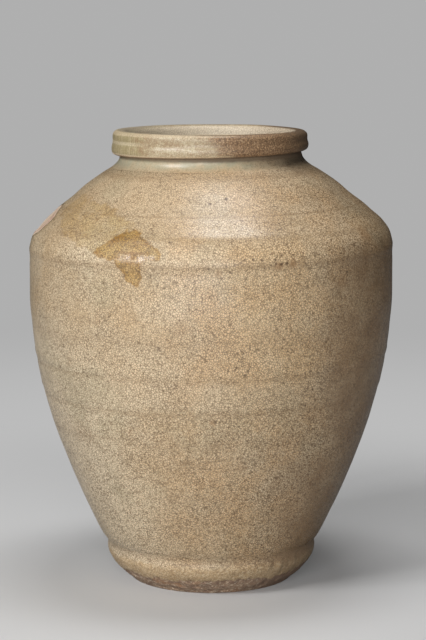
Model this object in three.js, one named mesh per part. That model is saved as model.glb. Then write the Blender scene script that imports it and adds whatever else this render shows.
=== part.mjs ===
// A lidless, wheel-thrown stoneware storage jar, in millimetres, with +Z up.
// The origin is the middle of the ring that the jar rests on.
// The jar is built as its maker built it: thrown sections, luted one on another,
// with a thin coil of clay pressed into a groove on the inside of each seam.
import * as THREE from 'three';
import { mergeVertices } from 'three/addons/utils/BufferGeometryUtils.js';

// Driving dimensions
const HEIGHT = 240;
const BELLY_RADIUS = 96.6;
const FOOT_RADIUS = 56.0;
const REST_RADIUS = 43.5;
const NECK_RADIUS = 47.8;
const LIP_RADIUS = 52.0;
const CREST_RADIUS = 46.6;
const MOUTH_RADIUS = 42.4;
const WALL = 6.5;
const FLOOR_THICKNESS = 9;
const HOLLOW_UNDER_FOOT = 2.5;
const REST_RING_WIDTH = 7.5;

// Heights of the seams, on the outside of the wall
const BASE_SEAM = 21.5;
const BELLY_SEAM = 123;
const SHOULDER_SEAM = 182;
const NECK_SEAM = 221;
const LAP_BOTTOM = 228;
const LAP_TOP = 234.5;

// How the jar is made
const GROOVE_DEPTH = 2.6;
const GROOVE_HALF_HEIGHT = 3;
const COIL_BULGE = 2;
const OUTSIDE_STEPS = 2;
const INSIDE_STEPS = 1;
const SEGMENTS = 60;

// The thrown wall from the foot to the neck, as [radius, height]
const WALL_OUTLINE = [
  [FOOT_RADIUS + 0.7, BASE_SEAM],
  [60.3, 27],
  [69.6, 47],
  [80.9, 75],
  [89.2, 103],
  [93.4, BELLY_SEAM],
  [96.1, 146],
  [BELLY_RADIUS, 166],
  [95.9, SHOULDER_SEAM],
  [91.4, 190.5],
  [83.2, 197.6],
  [68.6, 210],
  [58.8, 217],
  [52.4, NECK_SEAM],
  [48.8, 224.6],
  [NECK_RADIUS, LAP_BOTTOM],
];

// The sections sit a little askew on one another: [height, lean in degrees].
// Each seam keeps one lean over its whole height, so its faces stay flat.
const LEANS = [
  [0, 0],
  [BASE_SEAM + 9, 0],
  [BELLY_SEAM - 8, 0.4],
  [BELLY_SEAM + 8, 0.4],
  [SHOULDER_SEAM - 8, 0.85],
  [SHOULDER_SEAM + 5, 0.85],
  [NECK_SEAM - 8, 0.7],
  [NECK_SEAM + 4, 0.7],
  [LAP_BOTTOM - 1, 1.5],
  [LAP_BOTTOM + 0.5, 1.5],
  [HEIGHT, 0],
];

// Glazes and bare clay
const glazeOutside = new THREE.MeshStandardMaterial({ color: 0xb5a68c, roughness: 0.32, metalness: 0 });
const glazeShoulder = new THREE.MeshStandardMaterial({ color: 0xbba98b, roughness: 0.3, metalness: 0 });
const glazeLip = new THREE.MeshStandardMaterial({ color: 0xa38f6c, roughness: 0.3, metalness: 0 });
const glazeNeck = new THREE.MeshStandardMaterial({ color: 0xaab0a0, roughness: 0.28, metalness: 0 });
const bareFoot = new THREE.MeshStandardMaterial({ color: 0x9c8c74, roughness: 0.6, metalness: 0 });
const coilClay = new THREE.MeshStandardMaterial({ color: 0xa89a80, roughness: 0.45, metalness: 0 });

// Lean of the jar at a height, in radians, eased between the stated heights
function leanAt(height) {
  let k = 0;
  while (k < LEANS.length - 2 && height > LEANS[k + 1][0]) {
    k += 1;
  }
  const [lowHeight, lowLean] = LEANS[k];
  const [highHeight, highLean] = LEANS[k + 1];
  const part = THREE.MathUtils.smoothstep(height, lowHeight, highHeight);
  return THREE.MathUtils.degToRad(THREE.MathUtils.lerp(lowLean, highLean, part));
}

// One point of an outline
function at(radius, height) {
  return new THREE.Vector2(radius, height);
}

// The smooth curve of the wall's outside, through its few points
const wallCurve = new THREE.SplineCurve(WALL_OUTLINE.map(([radius, height]) => at(radius, height)));

// Which span of the wall curve ends at a seam
function spanOf(seamHeight) {
  return WALL_OUTLINE.findIndex(([, height]) => height === seamHeight);
}

// A point of the wall, set in from its outside by a depth measured square to it
function wallPoint(span, depth) {
  const t = span / (WALL_OUTLINE.length - 1);
  const outside = wallCurve.getPoint(t);
  const along = wallCurve.getTangent(t);
  return at(outside.x - along.y * depth, outside.y + along.x * depth);
}

// The outside or inside of a section, without its two ends, in a few steps to each span
function wallStretch(fromSeam, toSeam, depth, steps) {
  const first = spanOf(fromSeam);
  const count = (spanOf(toSeam) - first) * steps;
  const points = [];
  for (let k = 1; k < count; k += 1) {
    points.push(wallPoint(first + k / steps, depth));
  }
  return points;
}

// The four points of a seam: its edge outside, the root of its groove, and the groove's two lips
function seam(height) {
  const span = spanOf(height);
  const t = span / (WALL_OUTLINE.length - 1);
  const along = wallCurve.getTangent(t);
  const inside = wallPoint(span, WALL);
  const root = wallPoint(span, WALL - GROOVE_DEPTH);
  const reach = along.clone().multiplyScalar(GROOVE_HALF_HEIGHT);
  return {
    edge: wallPoint(span, 0),
    root: at(root.x, root.y),
    lowLip: inside.clone().sub(reach),
    highLip: inside.clone().add(reach),
    inward: at(-along.y, along.x),
  };
}

const baseSeam = seam(BASE_SEAM);
const bellySeam = seam(BELLY_SEAM);
const shoulderSeam = seam(SHOULDER_SEAM);
const neckSeam = seam(NECK_SEAM);

// Points that leave out any that a groove has swallowed
function clearOf(points, lips) {
  return points.filter((point) => lips.every((lip) => point.distanceTo(lip) > GROOVE_HALF_HEIGHT));
}

// Turns an outline about the axis, and sets it askew as the jar's sections are
function thrown(name, outline, material) {
  const turned = new THREE.LatheGeometry(outline, SEGMENTS);
  turned.rotateX(Math.PI / 2);
  turned.deleteAttribute('normal');
  turned.deleteAttribute('uv');
  const geometry = mergeVertices(turned, 1e-3);
  const position = geometry.attributes.position;
  for (let k = 0; k < position.count; k += 1) {
    const x = position.getX(k);
    const z = position.getZ(k);
    position.setZ(k, z + x * Math.tan(leanAt(z)));
  }
  geometry.computeVertexNormals();
  const mesh = new THREE.Mesh(geometry, material);
  mesh.name = name;
  return mesh;
}

// A section of wall between two seams
function wallSection(name, low, high, lowHeight, highHeight, material) {
  const innerWall = wallStretch(lowHeight, highHeight, WALL, INSIDE_STEPS);
  const inside = clearOf(innerWall, [low.highLip, high.lowLip]);
  const outline = [
    low.edge,
    ...wallStretch(lowHeight, highHeight, 0, OUTSIDE_STEPS),
    high.edge,
    high.root,
    high.lowLip,
    ...inside.reverse(),
    low.highLip,
    low.root,
    low.edge,
  ];
  return thrown(name, outline, material);
}

// Foot and floor: a bevelled bottom edge, a short set-in band, and a floor that rises to the wall
function baseDish() {
  const restInner = REST_RADIUS - REST_RING_WIDTH;
  const floorTop = HOLLOW_UNDER_FOOT + FLOOR_THICKNESS;
  const outline = [
    at(0, HOLLOW_UNDER_FOOT),
    at(restInner - 5, HOLLOW_UNDER_FOOT - 0.4),
    at(restInner, 0),
    at(REST_RADIUS, 0),
    at(48.7, 4.2),
    at(52.6, 8.6),
    at(55.2, 13.2),
    at(FOOT_RADIUS, 18),
    baseSeam.edge,
    baseSeam.root,
    baseSeam.lowLip,
    at(44.5, 14.8),
    at(36, floorTop + 0.6),
    at(0, floorTop),
  ];
  return thrown('base_dish', outline, bareFoot);
}

// The short neck, which runs up inside the lip and holds it
function neckCollar() {
  const outline = [
    neckSeam.edge,
    ...wallStretch(NECK_SEAM, LAP_BOTTOM, 0, OUTSIDE_STEPS),
    at(NECK_RADIUS, LAP_BOTTOM),
    at(NECK_RADIUS, LAP_TOP),
    at(MOUTH_RADIUS, LAP_TOP),
    at(MOUTH_RADIUS - 0.9, 229),
    at(MOUTH_RADIUS - 0.4, 223.6),
    neckSeam.highLip,
    neckSeam.root,
    neckSeam.edge,
  ];
  return thrown('neck_collar', outline, glazeNeck);
}

// The lip: a thick strip lapped over the outside and the top of the collar
function rimBand() {
  const outline = [
    at(NECK_RADIUS, LAP_BOTTOM),
    at(50.6, LAP_BOTTOM - 0.3),
    at(51.7, LAP_BOTTOM + 1),
    at(LIP_RADIUS, LAP_BOTTOM + 3.6),
    at(51.6, LAP_BOTTOM + 7.2),
    at(50.4, HEIGHT - 2),
    at(48.7, HEIGHT - 0.5),
    at(CREST_RADIUS, HEIGHT),
    at(44.6, HEIGHT - 0.6),
    at(43.2, HEIGHT - 2.3),
    at(MOUTH_RADIUS, LAP_TOP),
    at(NECK_RADIUS, LAP_TOP),
    at(NECK_RADIUS, LAP_BOTTOM),
  ];
  return thrown('rim_band', outline, glazeLip);
}

// The coil of clay pressed into the groove inside a seam, with its round back to the hollow
function seamCoil(name, joint) {
  const outline = [joint.lowLip, joint.root, joint.highLip];
  for (const part of [0.75, 0.5, 0.25]) {
    const along = joint.lowLip.clone().lerp(joint.highLip, part);
    const bulge = COIL_BULGE * Math.sin(Math.PI * part);
    outline.push(along.add(joint.inward.clone().multiplyScalar(bulge)));
  }
  outline.push(joint.lowLip);
  return thrown(name, outline, coilClay);
}

const jar = new THREE.Group();
jar.name = 'storage_jar';
jar.add(
  baseDish(),
  wallSection('lower_body', baseSeam, bellySeam, BASE_SEAM, BELLY_SEAM, glazeOutside),
  wallSection('upper_body', bellySeam, shoulderSeam, BELLY_SEAM, SHOULDER_SEAM, glazeOutside),
  wallSection('shoulder', shoulderSeam, neckSeam, SHOULDER_SEAM, NECK_SEAM, glazeShoulder),
  neckCollar(),
  rimBand(),
  seamCoil('base_seam_coil', baseSeam),
  seamCoil('belly_seam_coil', bellySeam),
  seamCoil('shoulder_seam_coil', shoulderSeam),
  seamCoil('neck_seam_coil', neckSeam),
);

export default jar;
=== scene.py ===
"""A lidless, crackle-glazed stoneware storage jar, dressed around its fixed frame.

The frame holds the jar's thrown sections and seam coils as plain faceted solids. Each of them is
turned again here as a fine mesh that carries the marks of throwing, firing and wear, and gets its
glaze or bare clay. The jar was measured in millimetres and degrees, so its form is written in them,
and a mesh is brought to metres when it is finished. Azimuth 0 faces -Y, the side seen in front, and
grows towards +X.
"""

import logging
import math
from dataclasses import dataclass, field
from typing import Iterable, Sequence

import bmesh
import bpy
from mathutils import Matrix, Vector, noise

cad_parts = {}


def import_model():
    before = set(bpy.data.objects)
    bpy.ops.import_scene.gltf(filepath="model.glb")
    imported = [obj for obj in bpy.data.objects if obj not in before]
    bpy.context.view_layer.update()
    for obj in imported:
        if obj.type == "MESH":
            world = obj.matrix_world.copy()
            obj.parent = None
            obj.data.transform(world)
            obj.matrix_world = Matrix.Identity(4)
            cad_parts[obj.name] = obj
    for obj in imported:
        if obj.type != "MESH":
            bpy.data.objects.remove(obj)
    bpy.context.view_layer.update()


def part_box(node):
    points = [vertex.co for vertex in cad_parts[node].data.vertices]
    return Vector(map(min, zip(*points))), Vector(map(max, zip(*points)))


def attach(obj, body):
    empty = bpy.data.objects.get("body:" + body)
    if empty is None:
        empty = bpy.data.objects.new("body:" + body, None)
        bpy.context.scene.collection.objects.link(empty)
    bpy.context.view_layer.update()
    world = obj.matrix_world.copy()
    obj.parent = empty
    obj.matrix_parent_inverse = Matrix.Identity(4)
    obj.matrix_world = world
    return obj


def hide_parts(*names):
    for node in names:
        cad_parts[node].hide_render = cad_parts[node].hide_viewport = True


LOG = logging.getLogger("storage_jar")

MM = 0.001
FULL_TURN = 2 * math.pi
GLAZE_COVER = "glaze_cover"
BODY_LEAN = 0.8
LIP_LEAN = 1.0
FIRED_IOR = 1.5

Knot = tuple[float, float]
Colour = tuple[float, float, float]
Outline = list[Knot]
Socket = bpy.types.NodeSocket


def smooth_step(value: float, low: float, high: float) -> float:
    """Rises smoothly from 0 at low to 1 at high.

    Args:
        value: The number to place between the two limits.
        low: Where the rise starts.
        high: Where the rise ends. It may be below low, and the step then falls.

    Returns:
        A number from 0 to 1.
    """
    part = min(max((value - low) / (high - low), 0.0), 1.0)
    return part * part * (3 - 2 * part)


def grey(tone: float) -> Colour:
    """A neutral colour of one tone."""
    return (tone, tone, tone)


def bell(value: float, middle: float, half_width: float) -> float:
    """A bell curve of height 1 over middle, nearly gone two half widths away."""
    return math.exp(-(((value - middle) / half_width) ** 2))


class SmoothPath:
    """A smooth curve through a few knots, each a radius and a height."""

    def __init__(self, knots: Sequence[Knot]) -> None:
        """Keeps the knots as vectors."""
        self.knots = [Vector(knot) for knot in knots]

    def point(self, span: float) -> Vector:
        """The point of the curve at a knot number, which may lie between two knots.

        Args:
            span: The number of the knot, with the part of the way to the next.

        Returns:
            The radius and the height there.
        """
        last = len(self.knots) - 1
        first = min(int(span), last - 1)
        t = span - first
        before = self.knots[max(first - 1, 0)]
        start, end = self.knots[first], self.knots[first + 1]
        after = self.knots[min(first + 2, last)]
        out, into = (end - before) / 2, (after - start) / 2
        bend = 2 * start - 2 * end + out + into
        turn = -3 * start + 3 * end - 2 * out - into
        return bend * t**3 + turn * t**2 + out * t + start

    def along(self, span: float) -> Vector:
        """The curve's direction at a knot number, of length 1.

        Args:
            span: The knot number, with its fraction.

        Returns:
            The direction.
        """
        reach = 1e-3
        last = len(self.knots) - 1
        ahead = self.point(min(span + reach, last))
        return (ahead - self.point(max(span - reach, 0.0))).normalized()

    def inset(self, span: float, depth: float) -> Vector:
        """The point that lies a depth to the left of the curve's direction."""
        along = self.along(span)
        return self.point(span) + Vector((-along.y, along.x)) * depth

    def walk(self, start: float, end: float, spacing: float, depth: float = 0.0) -> Outline:
        """Points along a stretch of the curve, without its two ends.

        Args:
            start: The knot number that the stretch starts at.
            end: The knot number that it ends at, which may be the lower one.
            spacing: About how far apart the points lie.
            depth: How far to the left of the curve they lie.

        Returns:
            The points, each a radius and a height.
        """
        points: Outline = []
        way = 1 if end > start else -1
        spans = round(abs(end - start))
        for number in range(spans):
            here = start + way * number
            length = (self.point(here + way) - self.point(here)).length
            steps = max(1, round(length / spacing))
            points += [tuple(self.inset(here + way * k / steps, depth)) for k in range(steps)]
        return points[1:]


def smooth_outline(knots: Sequence[Knot], spacing: float) -> Outline:
    """Points of the smooth curve through the knots, with both its ends."""
    path = SmoothPath(knots)
    return [tuple(knots[0]), *path.walk(0, len(knots) - 1, spacing), tuple(knots[-1])]


@dataclass(frozen=True)
class Seam:
    """Where two thrown sections were luted: the face they share and the groove for the coil."""

    edge: Knot
    root: Knot
    low_lip: Knot
    high_lip: Knot
    inward: Knot


@dataclass(frozen=True)
class Lean:
    """How far the jar's sections lean towards -X at one height."""

    height: float
    degrees: float


@dataclass
class JarForm:
    """The jar's sizes and its smooth wall, in millimetres."""

    height: float
    belly_radius: float
    lip_radius: float
    foot_radius: float = 56.0
    rest_radius: float = 43.5
    rest_ring_width: float = 7.5
    neck_radius: float = 47.8
    crest_radius: float = 46.6
    mouth_radius: float = 42.4
    wall: float = 6.5
    floor_thickness: float = 9.0
    hollow_under_foot: float = 2.5
    bevel: Knot = (55.2, 13.2)
    base_seam: float = 21.5
    belly_seam: float = 123.0
    shoulder_seam: float = 182.0
    neck_seam: float = 221.0
    lap_bottom: float = 228.0
    lap_top: float = 234.5
    groove_depth: float = 2.6
    groove_half_height: float = 3.0
    lip_shift: float = -0.6
    path: SmoothPath = field(init=False)
    leans: tuple[Lean, ...] = field(init=False)

    def __post_init__(self) -> None:
        """Lays out the wall's knots and the leans from the sizes."""
        self.path = SmoothPath(
            (
                (self.foot_radius + 0.7, self.base_seam),
                (60.3, 27.0),
                (69.6, 47.0),
                (80.9, 75.0),
                (89.2, 103.0),
                (93.4, self.belly_seam),
                (96.1, 146.0),
                (self.belly_radius, 166.0),
                (95.9, self.shoulder_seam),
                (91.4, 190.5),
                (83.2, 197.6),
                (68.6, 210.0),
                (58.8, 217.0),
                (52.4, self.neck_seam),
                (48.8, 224.6),
                (self.neck_radius, self.lap_bottom),
            )
        )
        self.leans = (
            Lean(0, 0),
            Lean(self.base_seam + 9, 0),
            Lean(self.belly_seam - 8, 0.4),
            Lean(self.belly_seam + 8, 0.4),
            Lean(self.shoulder_seam - 8, 0.85),
            Lean(self.shoulder_seam + 5, 0.85),
            Lean(self.neck_seam - 8, 0.7),
            Lean(self.neck_seam + 4, 0.7),
            Lean(self.lap_bottom - 1, 1.5),
            Lean(self.lap_bottom + 0.5, 1.5),
            Lean(self.height, 0),
        )

    @classmethod
    def from_frame(cls) -> "JarForm":
        """Takes the driving sizes from the frame's solids.

        Returns:
            The form, with its height and widest radii measured on the frame.
        """
        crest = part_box("rim_band")[1]
        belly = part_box("upper_body")[1]
        return cls(height=crest.z / MM, belly_radius=belly.x / MM, lip_radius=crest.x / MM)

    def span_of(self, height: float) -> int:
        """The number of the wall's knot at a seam's height."""
        return next(k for k, knot in enumerate(self.path.knots) if abs(knot.y - height) < 1e-6)

    def seam(self, height: float) -> Seam:
        """The seam that meets the outside of the wall at a height.

        Args:
            height: The height of one of the wall's knots.

        Returns:
            The seam's edge, the root and lips of its groove, and the way to the hollow.
        """
        span = self.span_of(height)
        along = self.path.along(span)
        inside = self.path.inset(span, self.wall)
        reach = along * self.groove_half_height
        return Seam(
            edge=tuple(self.path.point(span)),
            root=tuple(self.path.inset(span, self.wall - self.groove_depth)),
            low_lip=tuple(inside - reach),
            high_lip=tuple(inside + reach),
            inward=(-along.y, along.x),
        )

    def lean_at(self, height: float) -> float:
        """The lean at a height, in radians, eased between the stated heights.

        Args:
            height: The height in millimetres.

        Returns:
            The angle.
        """
        pairs = list(zip(self.leans, self.leans[1:]))
        low, high = next((pair for pair in pairs if height <= pair[1].height), pairs[-1])
        part = smooth_step(height, low.height, high.height)
        return math.radians(low.degrees + (high.degrees - low.degrees) * part)

    def shift_at(self, height: float) -> float:
        """How far the lip has slipped towards +X at a height, in millimetres."""
        return self.lip_shift * smooth_step(height, self.neck_seam + 3, self.lap_bottom + 1)

    def outside_radius(self, height: float) -> float:
        """The radius of the wall's outside at a height, close enough to tell its two faces apart.

        Args:
            height: The height in millimetres.

        Returns:
            The radius in millimetres.
        """
        knots = [(self.rest_radius, 0.0), self.bevel, *map(tuple, self.path.knots)]
        knots += [(self.lip_radius, self.lap_bottom + 2), (self.crest_radius, self.height)]
        for (low_radius, low), (high_radius, high) in zip(knots, knots[1:]):
            if height <= high:
                part = max(height - low, 0.0) / (high - low)
                return low_radius + (high_radius - low_radius) * part
        return self.crest_radius

    def place(self, azimuth: float, height: float) -> Vector:
        """The point on the outside of the wall at an azimuth in degrees and a height, in metres.

        Args:
            azimuth: The azimuth in degrees.
            height: The height in millimetres.

        Returns:
            The point.
        """
        radius = self.outside_radius(height)
        turn = math.radians(azimuth)
        x, y = radius * math.sin(turn), -radius * math.cos(turn)
        return Vector((x, y, height + x * math.tan(self.lean_at(height)))) * MM


@dataclass(frozen=True)
class Ridge:
    """A ring that the potter's fingers left: where it is, how wide, and how far it stands out."""

    height: float
    half_width: float
    rise: float


@dataclass(frozen=True)
class Press:
    """A place where a hand pressed the wall: where it is, how far it reaches and how it moved."""

    azimuth: float
    half_turn: float
    height: float
    half_width: float
    rise: float

    def at(self, turn: float, height: float) -> float:
        """How far the wall moved at an azimuth in degrees and a height."""
        aside = bell(turn, self.azimuth, self.half_turn)
        return self.rise * aside * bell(height, self.height, self.half_width)


@dataclass(frozen=True)
class Chip:
    """A shallow flake lost from the wall, as an ellipse on its surface."""

    azimuth: float
    height: float
    half_length: float
    half_width: float
    tilt: float
    depth: float
    wall_radius: float = 91.0
    wander: tuple[tuple[float, float, float], ...] = ((2.0, 0.12, 1.9), (3.0, 0.16, 0.4), (7.0, 0.07, 2.6))


SHOULDER_CHIP = Chip(azimuth=-87.0, height=193.0, half_length=19.5, half_width=7.6, tilt=4.0, depth=1.0)


@dataclass(frozen=True)
class ThrowingMarks:
    """The unevenness of a hand-thrown wall, as distances outwards in millimetres."""

    form: JarForm
    ridges: tuple[Ridge, ...] = (
        Ridge(206.0, 3.4, -0.56),
        Ridge(199.2, 3.4, 0.56),
        Ridge(190.0, 3.0, -0.12),
        Ridge(179.0, 2.0, 0.30),
        Ridge(174.6, 3.0, -0.18),
        Ridge(151.0, 5.0, 0.10),
        Ridge(139.0, 4.5, -0.14),
        Ridge(124.2, 1.7, 0.26),
        Ridge(120.6, 2.0, -0.20),
        Ridge(106.8, 2.0, 0.20),
        Ridge(103.4, 2.4, -0.16),
        Ridge(88.0, 5.0, 0.14),
        Ridge(70.0, 5.0, -0.12),
        Ridge(52.0, 6.0, 0.14),
        Ridge(36.0, 4.0, -0.14),
    )
    presses: tuple[Press, ...] = (
        Press(-22.0, 30.0, 186.5, 4.2, -0.95),
        Press(-22.0, 30.0, 179.0, 2.0, 0.05),
    )
    neck_press: Press = Press(-18.0, 42.0, 221.6, 2.8, -1.15)
    neck_hollow: float = 0.1
    finger_pitch: float = 11.0
    finger_depth: float = 0.45
    lump_size: float = 44.0
    lump_rise: float = 0.34
    dimple_size: float = 15.0
    dimple_rise: float = 0.12
    widest_height: float = 169.0
    widest_reach: float = 16.0
    widest_hold: float = 0.34
    swell: float = 0.92
    swell_reach: float = 0.3
    swell_size: float = 30.0

    def outside(self, azimuth: float, height: float, place: Vector) -> float:
        """How far the outside stands out at a place.

        Args:
            azimuth: The place's azimuth in radians.
            height: Its height in millimetres, before the lean.
            place: The place itself in millimetres.

        Returns:
            The distance outwards in millimetres.
        """
        round_about = Vector((math.sin(azimuth), math.cos(azimuth), height / self.swell_size))
        swell = self.swell + self.swell_reach * noise.noise(round_about)
        rings = sum(ridge.rise * bell(height, ridge.height, ridge.half_width) for ridge in self.ridges)
        turn = math.degrees(azimuth)
        pressed = sum(press.at(turn, height) for press in self.presses)
        lumps = noise.noise(place / self.lump_size) * self.lump_rise
        dimples = noise.noise(place / self.dimple_size) * self.dimple_rise
        quiet = smooth_step(height, self.form.neck_seam + 4, self.form.neck_seam - 6)
        low = smooth_step(height, self.form.base_seam - 6, self.form.base_seam + 8)
        held_in = bell(height, self.widest_height, self.widest_reach) * self.widest_hold
        uneven = (rings * swell + pressed + lumps + dimples - held_in) * quiet * low
        neck = self.neck_press
        drawn_in = neck.at(turn, height) - self.neck_hollow * bell(height, neck.height, neck.half_width)
        return uneven + drawn_in - self.chip(azimuth, height)

    def inside(self, azimuth: float, height: float, place: Vector) -> float:
        """How far the inside stands out, with the spiral of the potter's fingers.

        Args:
            azimuth: The place's azimuth in radians.
            height: The height in millimetres.
            place: The place itself in millimetres.

        Returns:
            The distance in millimetres.
        """
        turn = FULL_TURN * height / self.finger_pitch + azimuth
        lumps = noise.noise(place / self.lump_size + Vector((7, 3, 1))) * self.lump_rise
        low = smooth_step(height, 14.0, 30.0)
        high = smooth_step(height, self.form.lap_bottom, self.form.neck_seam - 6)
        return (math.sin(turn) * self.finger_depth + lumps) * low * high

    def chip(self, azimuth: float, height: float) -> float:
        """How deep the flake at the shoulder is at a place.

        Args:
            azimuth: The place's azimuth in radians.
            height: The height in millimetres.

        Returns:
            The depth in millimetres.
        """
        chip = SHOULDER_CHIP
        turn = azimuth - math.radians(chip.azimuth)
        across = turn * self.form.outside_radius(chip.height)
        up = height - chip.height
        tilt = math.radians(chip.tilt)
        along = across * math.cos(tilt) + up * math.sin(tilt)
        aside = up * math.cos(tilt) - across * math.sin(tilt)
        along, aside = along / chip.half_length, aside / chip.half_width
        theta = math.atan2(aside, along)
        uneven = sum(size * math.sin(count * theta + start) for count, size, start in chip.wander)
        reach = math.hypot(along, aside) * (1 + uneven * (1 - math.cos(theta)) / 2)
        return chip.depth * smooth_step(reach, 1.05, 0.35)


class TurnedPiece:
    """Turns one closed outline into a solid of clay, uneven as thrown clay is."""

    def __init__(self, form: JarForm, marks: ThrowingMarks, name: str, node: str, slot: str) -> None:
        """Keeps what the piece is made from and what it stands for.

        Args:
            form: The jar's sizes.
            marks: The unevenness of its wall.
            name: The piece's own name.
            node: The frame's node that it replaces.
            slot: The name of its material slot; it is kept but not used.
        """
        self.form = form
        self.marks = marks
        self.name = name
        self.node = node
        self.slot = slot
        self.turns = 288

    def outline(self) -> Outline:
        """The closed outline of the piece, as radii and heights, without its first point again."""
        raise NotImplementedError

    def relief(self, azimuth: float, height: float, radius: float, place: Vector) -> Vector:
        """How a point of the piece moves: outwards as x and up as y, in millimetres.

        Args:
            azimuth: The place's azimuth in radians.
            height: The height in millimetres.
            radius: Its distance from the axis in millimetres.
            place: The place itself in millimetres.

        Returns:
            The move.
        """
        outer = self.form.outside_radius(height)
        face = smooth_step(radius, outer - self.form.wall * 0.75, outer - 1.0)
        outwards = self.marks.outside(azimuth, height, place) * face
        inwards = self.marks.inside(azimuth, height, place) * (1 - face)
        return Vector((outwards + inwards, 0.0))

    def build(self, finish: bpy.types.Material) -> bpy.types.Object:
        """Makes the finished piece, riding on the frame in place of its node.

        Args:
            finish: The material that covers it.

        Returns:
            The piece's object, at the origin, with its place in its mesh.
        """
        turned = bmesh.new()
        self.turn(turned)
        self.shape(turned)
        bmesh.ops.recalc_face_normals(turned, faces=turned.faces)
        self.mark_corners(turned)
        bmesh.ops.scale(turned, vec=(MM, MM, MM), verts=turned.verts)
        mesh = bpy.data.meshes.new(self.name)
        turned.to_mesh(mesh)
        turned.free()
        mesh.materials.append(finish)
        piece = bpy.data.objects.new(self.name, mesh)
        bpy.context.scene.collection.objects.link(piece)
        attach(piece, "root")
        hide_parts(self.node)
        LOG.info("%s: %d faces", self.name, len(mesh.polygons))
        return piece

    def turn(self, turned: bmesh.types.BMesh) -> None:
        """Spins the outline about the jar's axis.

        Args:
            turned: The piece's mesh, in millimetres.
        """
        points = self.outline()
        verts = [turned.verts.new((0.0, -radius, height)) for radius, height in points]
        on_axis = points[0][0] == 0 and points[-1][0] == 0
        pairs = list(zip(verts, verts[1:]))
        if not on_axis:
            pairs.append((verts[-1], verts[0]))
        edges = [turned.edges.new(pair) for pair in pairs]
        bmesh.ops.spin(
            turned,
            geom=verts + edges,
            cent=(0, 0, 0),
            axis=(0, 0, 1),
            angle=FULL_TURN,
            steps=self.turns,
            use_merge=True,
        )
        bmesh.ops.remove_doubles(turned, verts=turned.verts, dist=1e-4)

    def shape(self, turned: bmesh.types.BMesh) -> None:
        """Moves every point by the piece's relief, then by the lean and the shift of its height.

        Args:
            turned: The piece's mesh, in millimetres.
        """
        for vert in turned.verts:
            radius = math.hypot(vert.co.x, vert.co.y)
            height = vert.co.z
            azimuth = math.atan2(vert.co.x, -vert.co.y)
            move = self.relief(azimuth, height, radius, vert.co.copy())
            if radius > 0:
                grown = (radius + move.x) / radius
                vert.co.x *= grown
                vert.co.y *= grown
            vert.co.z = height + move.y + vert.co.x * math.tan(self.form.lean_at(height))
            vert.co.x += self.form.shift_at(height)

    @staticmethod
    def mark_corners(turned: bmesh.types.BMesh) -> None:
        """Makes the faces smooth and keeps the corners of the seams sharp.

        Args:
            turned: The piece's mesh, in millimetres.
        """
        corner = math.radians(42)
        for face in turned.faces:
            face.smooth = True
        for edge in turned.edges:
            edge.smooth = edge.is_manifold and edge.calc_face_angle(0.0) < corner


class WallSection(TurnedPiece):
    """A thrown section of wall between two seams."""

    outside_spacing = 1.6
    inside_spacing = 3.0

    def __init__(
        self,
        form: JarForm,
        marks: ThrowingMarks,
        node: str,
        slot: str,
        heights: tuple[float, float],
    ) -> None:
        """Keeps the two seams' heights.

        Args:
            form: The jar's sizes.
            marks: The unevenness of its wall.
            node: The frame's node that the section replaces.
            slot: The name of its material slot; it is kept but not used.
            heights: The heights of the seams below and above it.
        """
        super().__init__(form, marks, f"{node}_thrown", node, slot)
        self.heights = heights

    def outline(self) -> Outline:
        """Up the outside, across the upper seam, down the inside and across the lower seam.

        Returns:
            The closed outline.
        """
        low, high = (self.form.seam(height) for height in self.heights)
        first, last = (self.form.span_of(height) for height in self.heights)
        path = self.form.path
        inside = path.walk(last, first, self.inside_spacing, self.form.wall)
        return [
            low.edge,
            *path.walk(first, last, self.outside_spacing),
            high.edge,
            high.root,
            high.low_lip,
            *self.clear_of((high.low_lip, low.high_lip), inside),
            low.high_lip,
            low.root,
        ]

    def clear_of(self, lips: Iterable[Knot], points: Outline) -> Outline:
        """The points that a groove hasn't swallowed."""
        reach = self.form.groove_half_height
        return [point for point in points if all(math.dist(point, lip) > reach for lip in lips)]


@dataclass(frozen=True)
class GlazeLine:
    """The wavering edge of the glaze above the bare clay of the foot."""

    middle: float = 9.6
    dip: float = 2.4
    dip_azimuth: float = -80.0
    run: float = 2.8
    run_azimuth: float = 42.0
    run_reach: float = 26.0
    waver: float = 0.9
    waver_size: float = 9.0
    ragged: float = 0.8
    ragged_size: float = 1.7
    thickness: float = 0.3

    def height(self, azimuth: float, place: Vector) -> float:
        """The height of the glaze's edge at an azimuth in radians, near a place in millimetres.

        Args:
            azimuth: The place's azimuth in radians.
            place: The place itself in millimetres.

        Returns:
            The height in millimetres.
        """
        dip = self.dip * math.cos(azimuth - math.radians(self.dip_azimuth))
        dip += self.run * bell(math.degrees(azimuth), self.run_azimuth, self.run_reach)
        waver = noise.noise(place / self.waver_size + Vector((3, 9, 2))) * self.waver * 2
        ragged = noise.noise(place / self.ragged_size) * self.ragged * 2
        return self.middle - dip + waver + ragged


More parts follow.
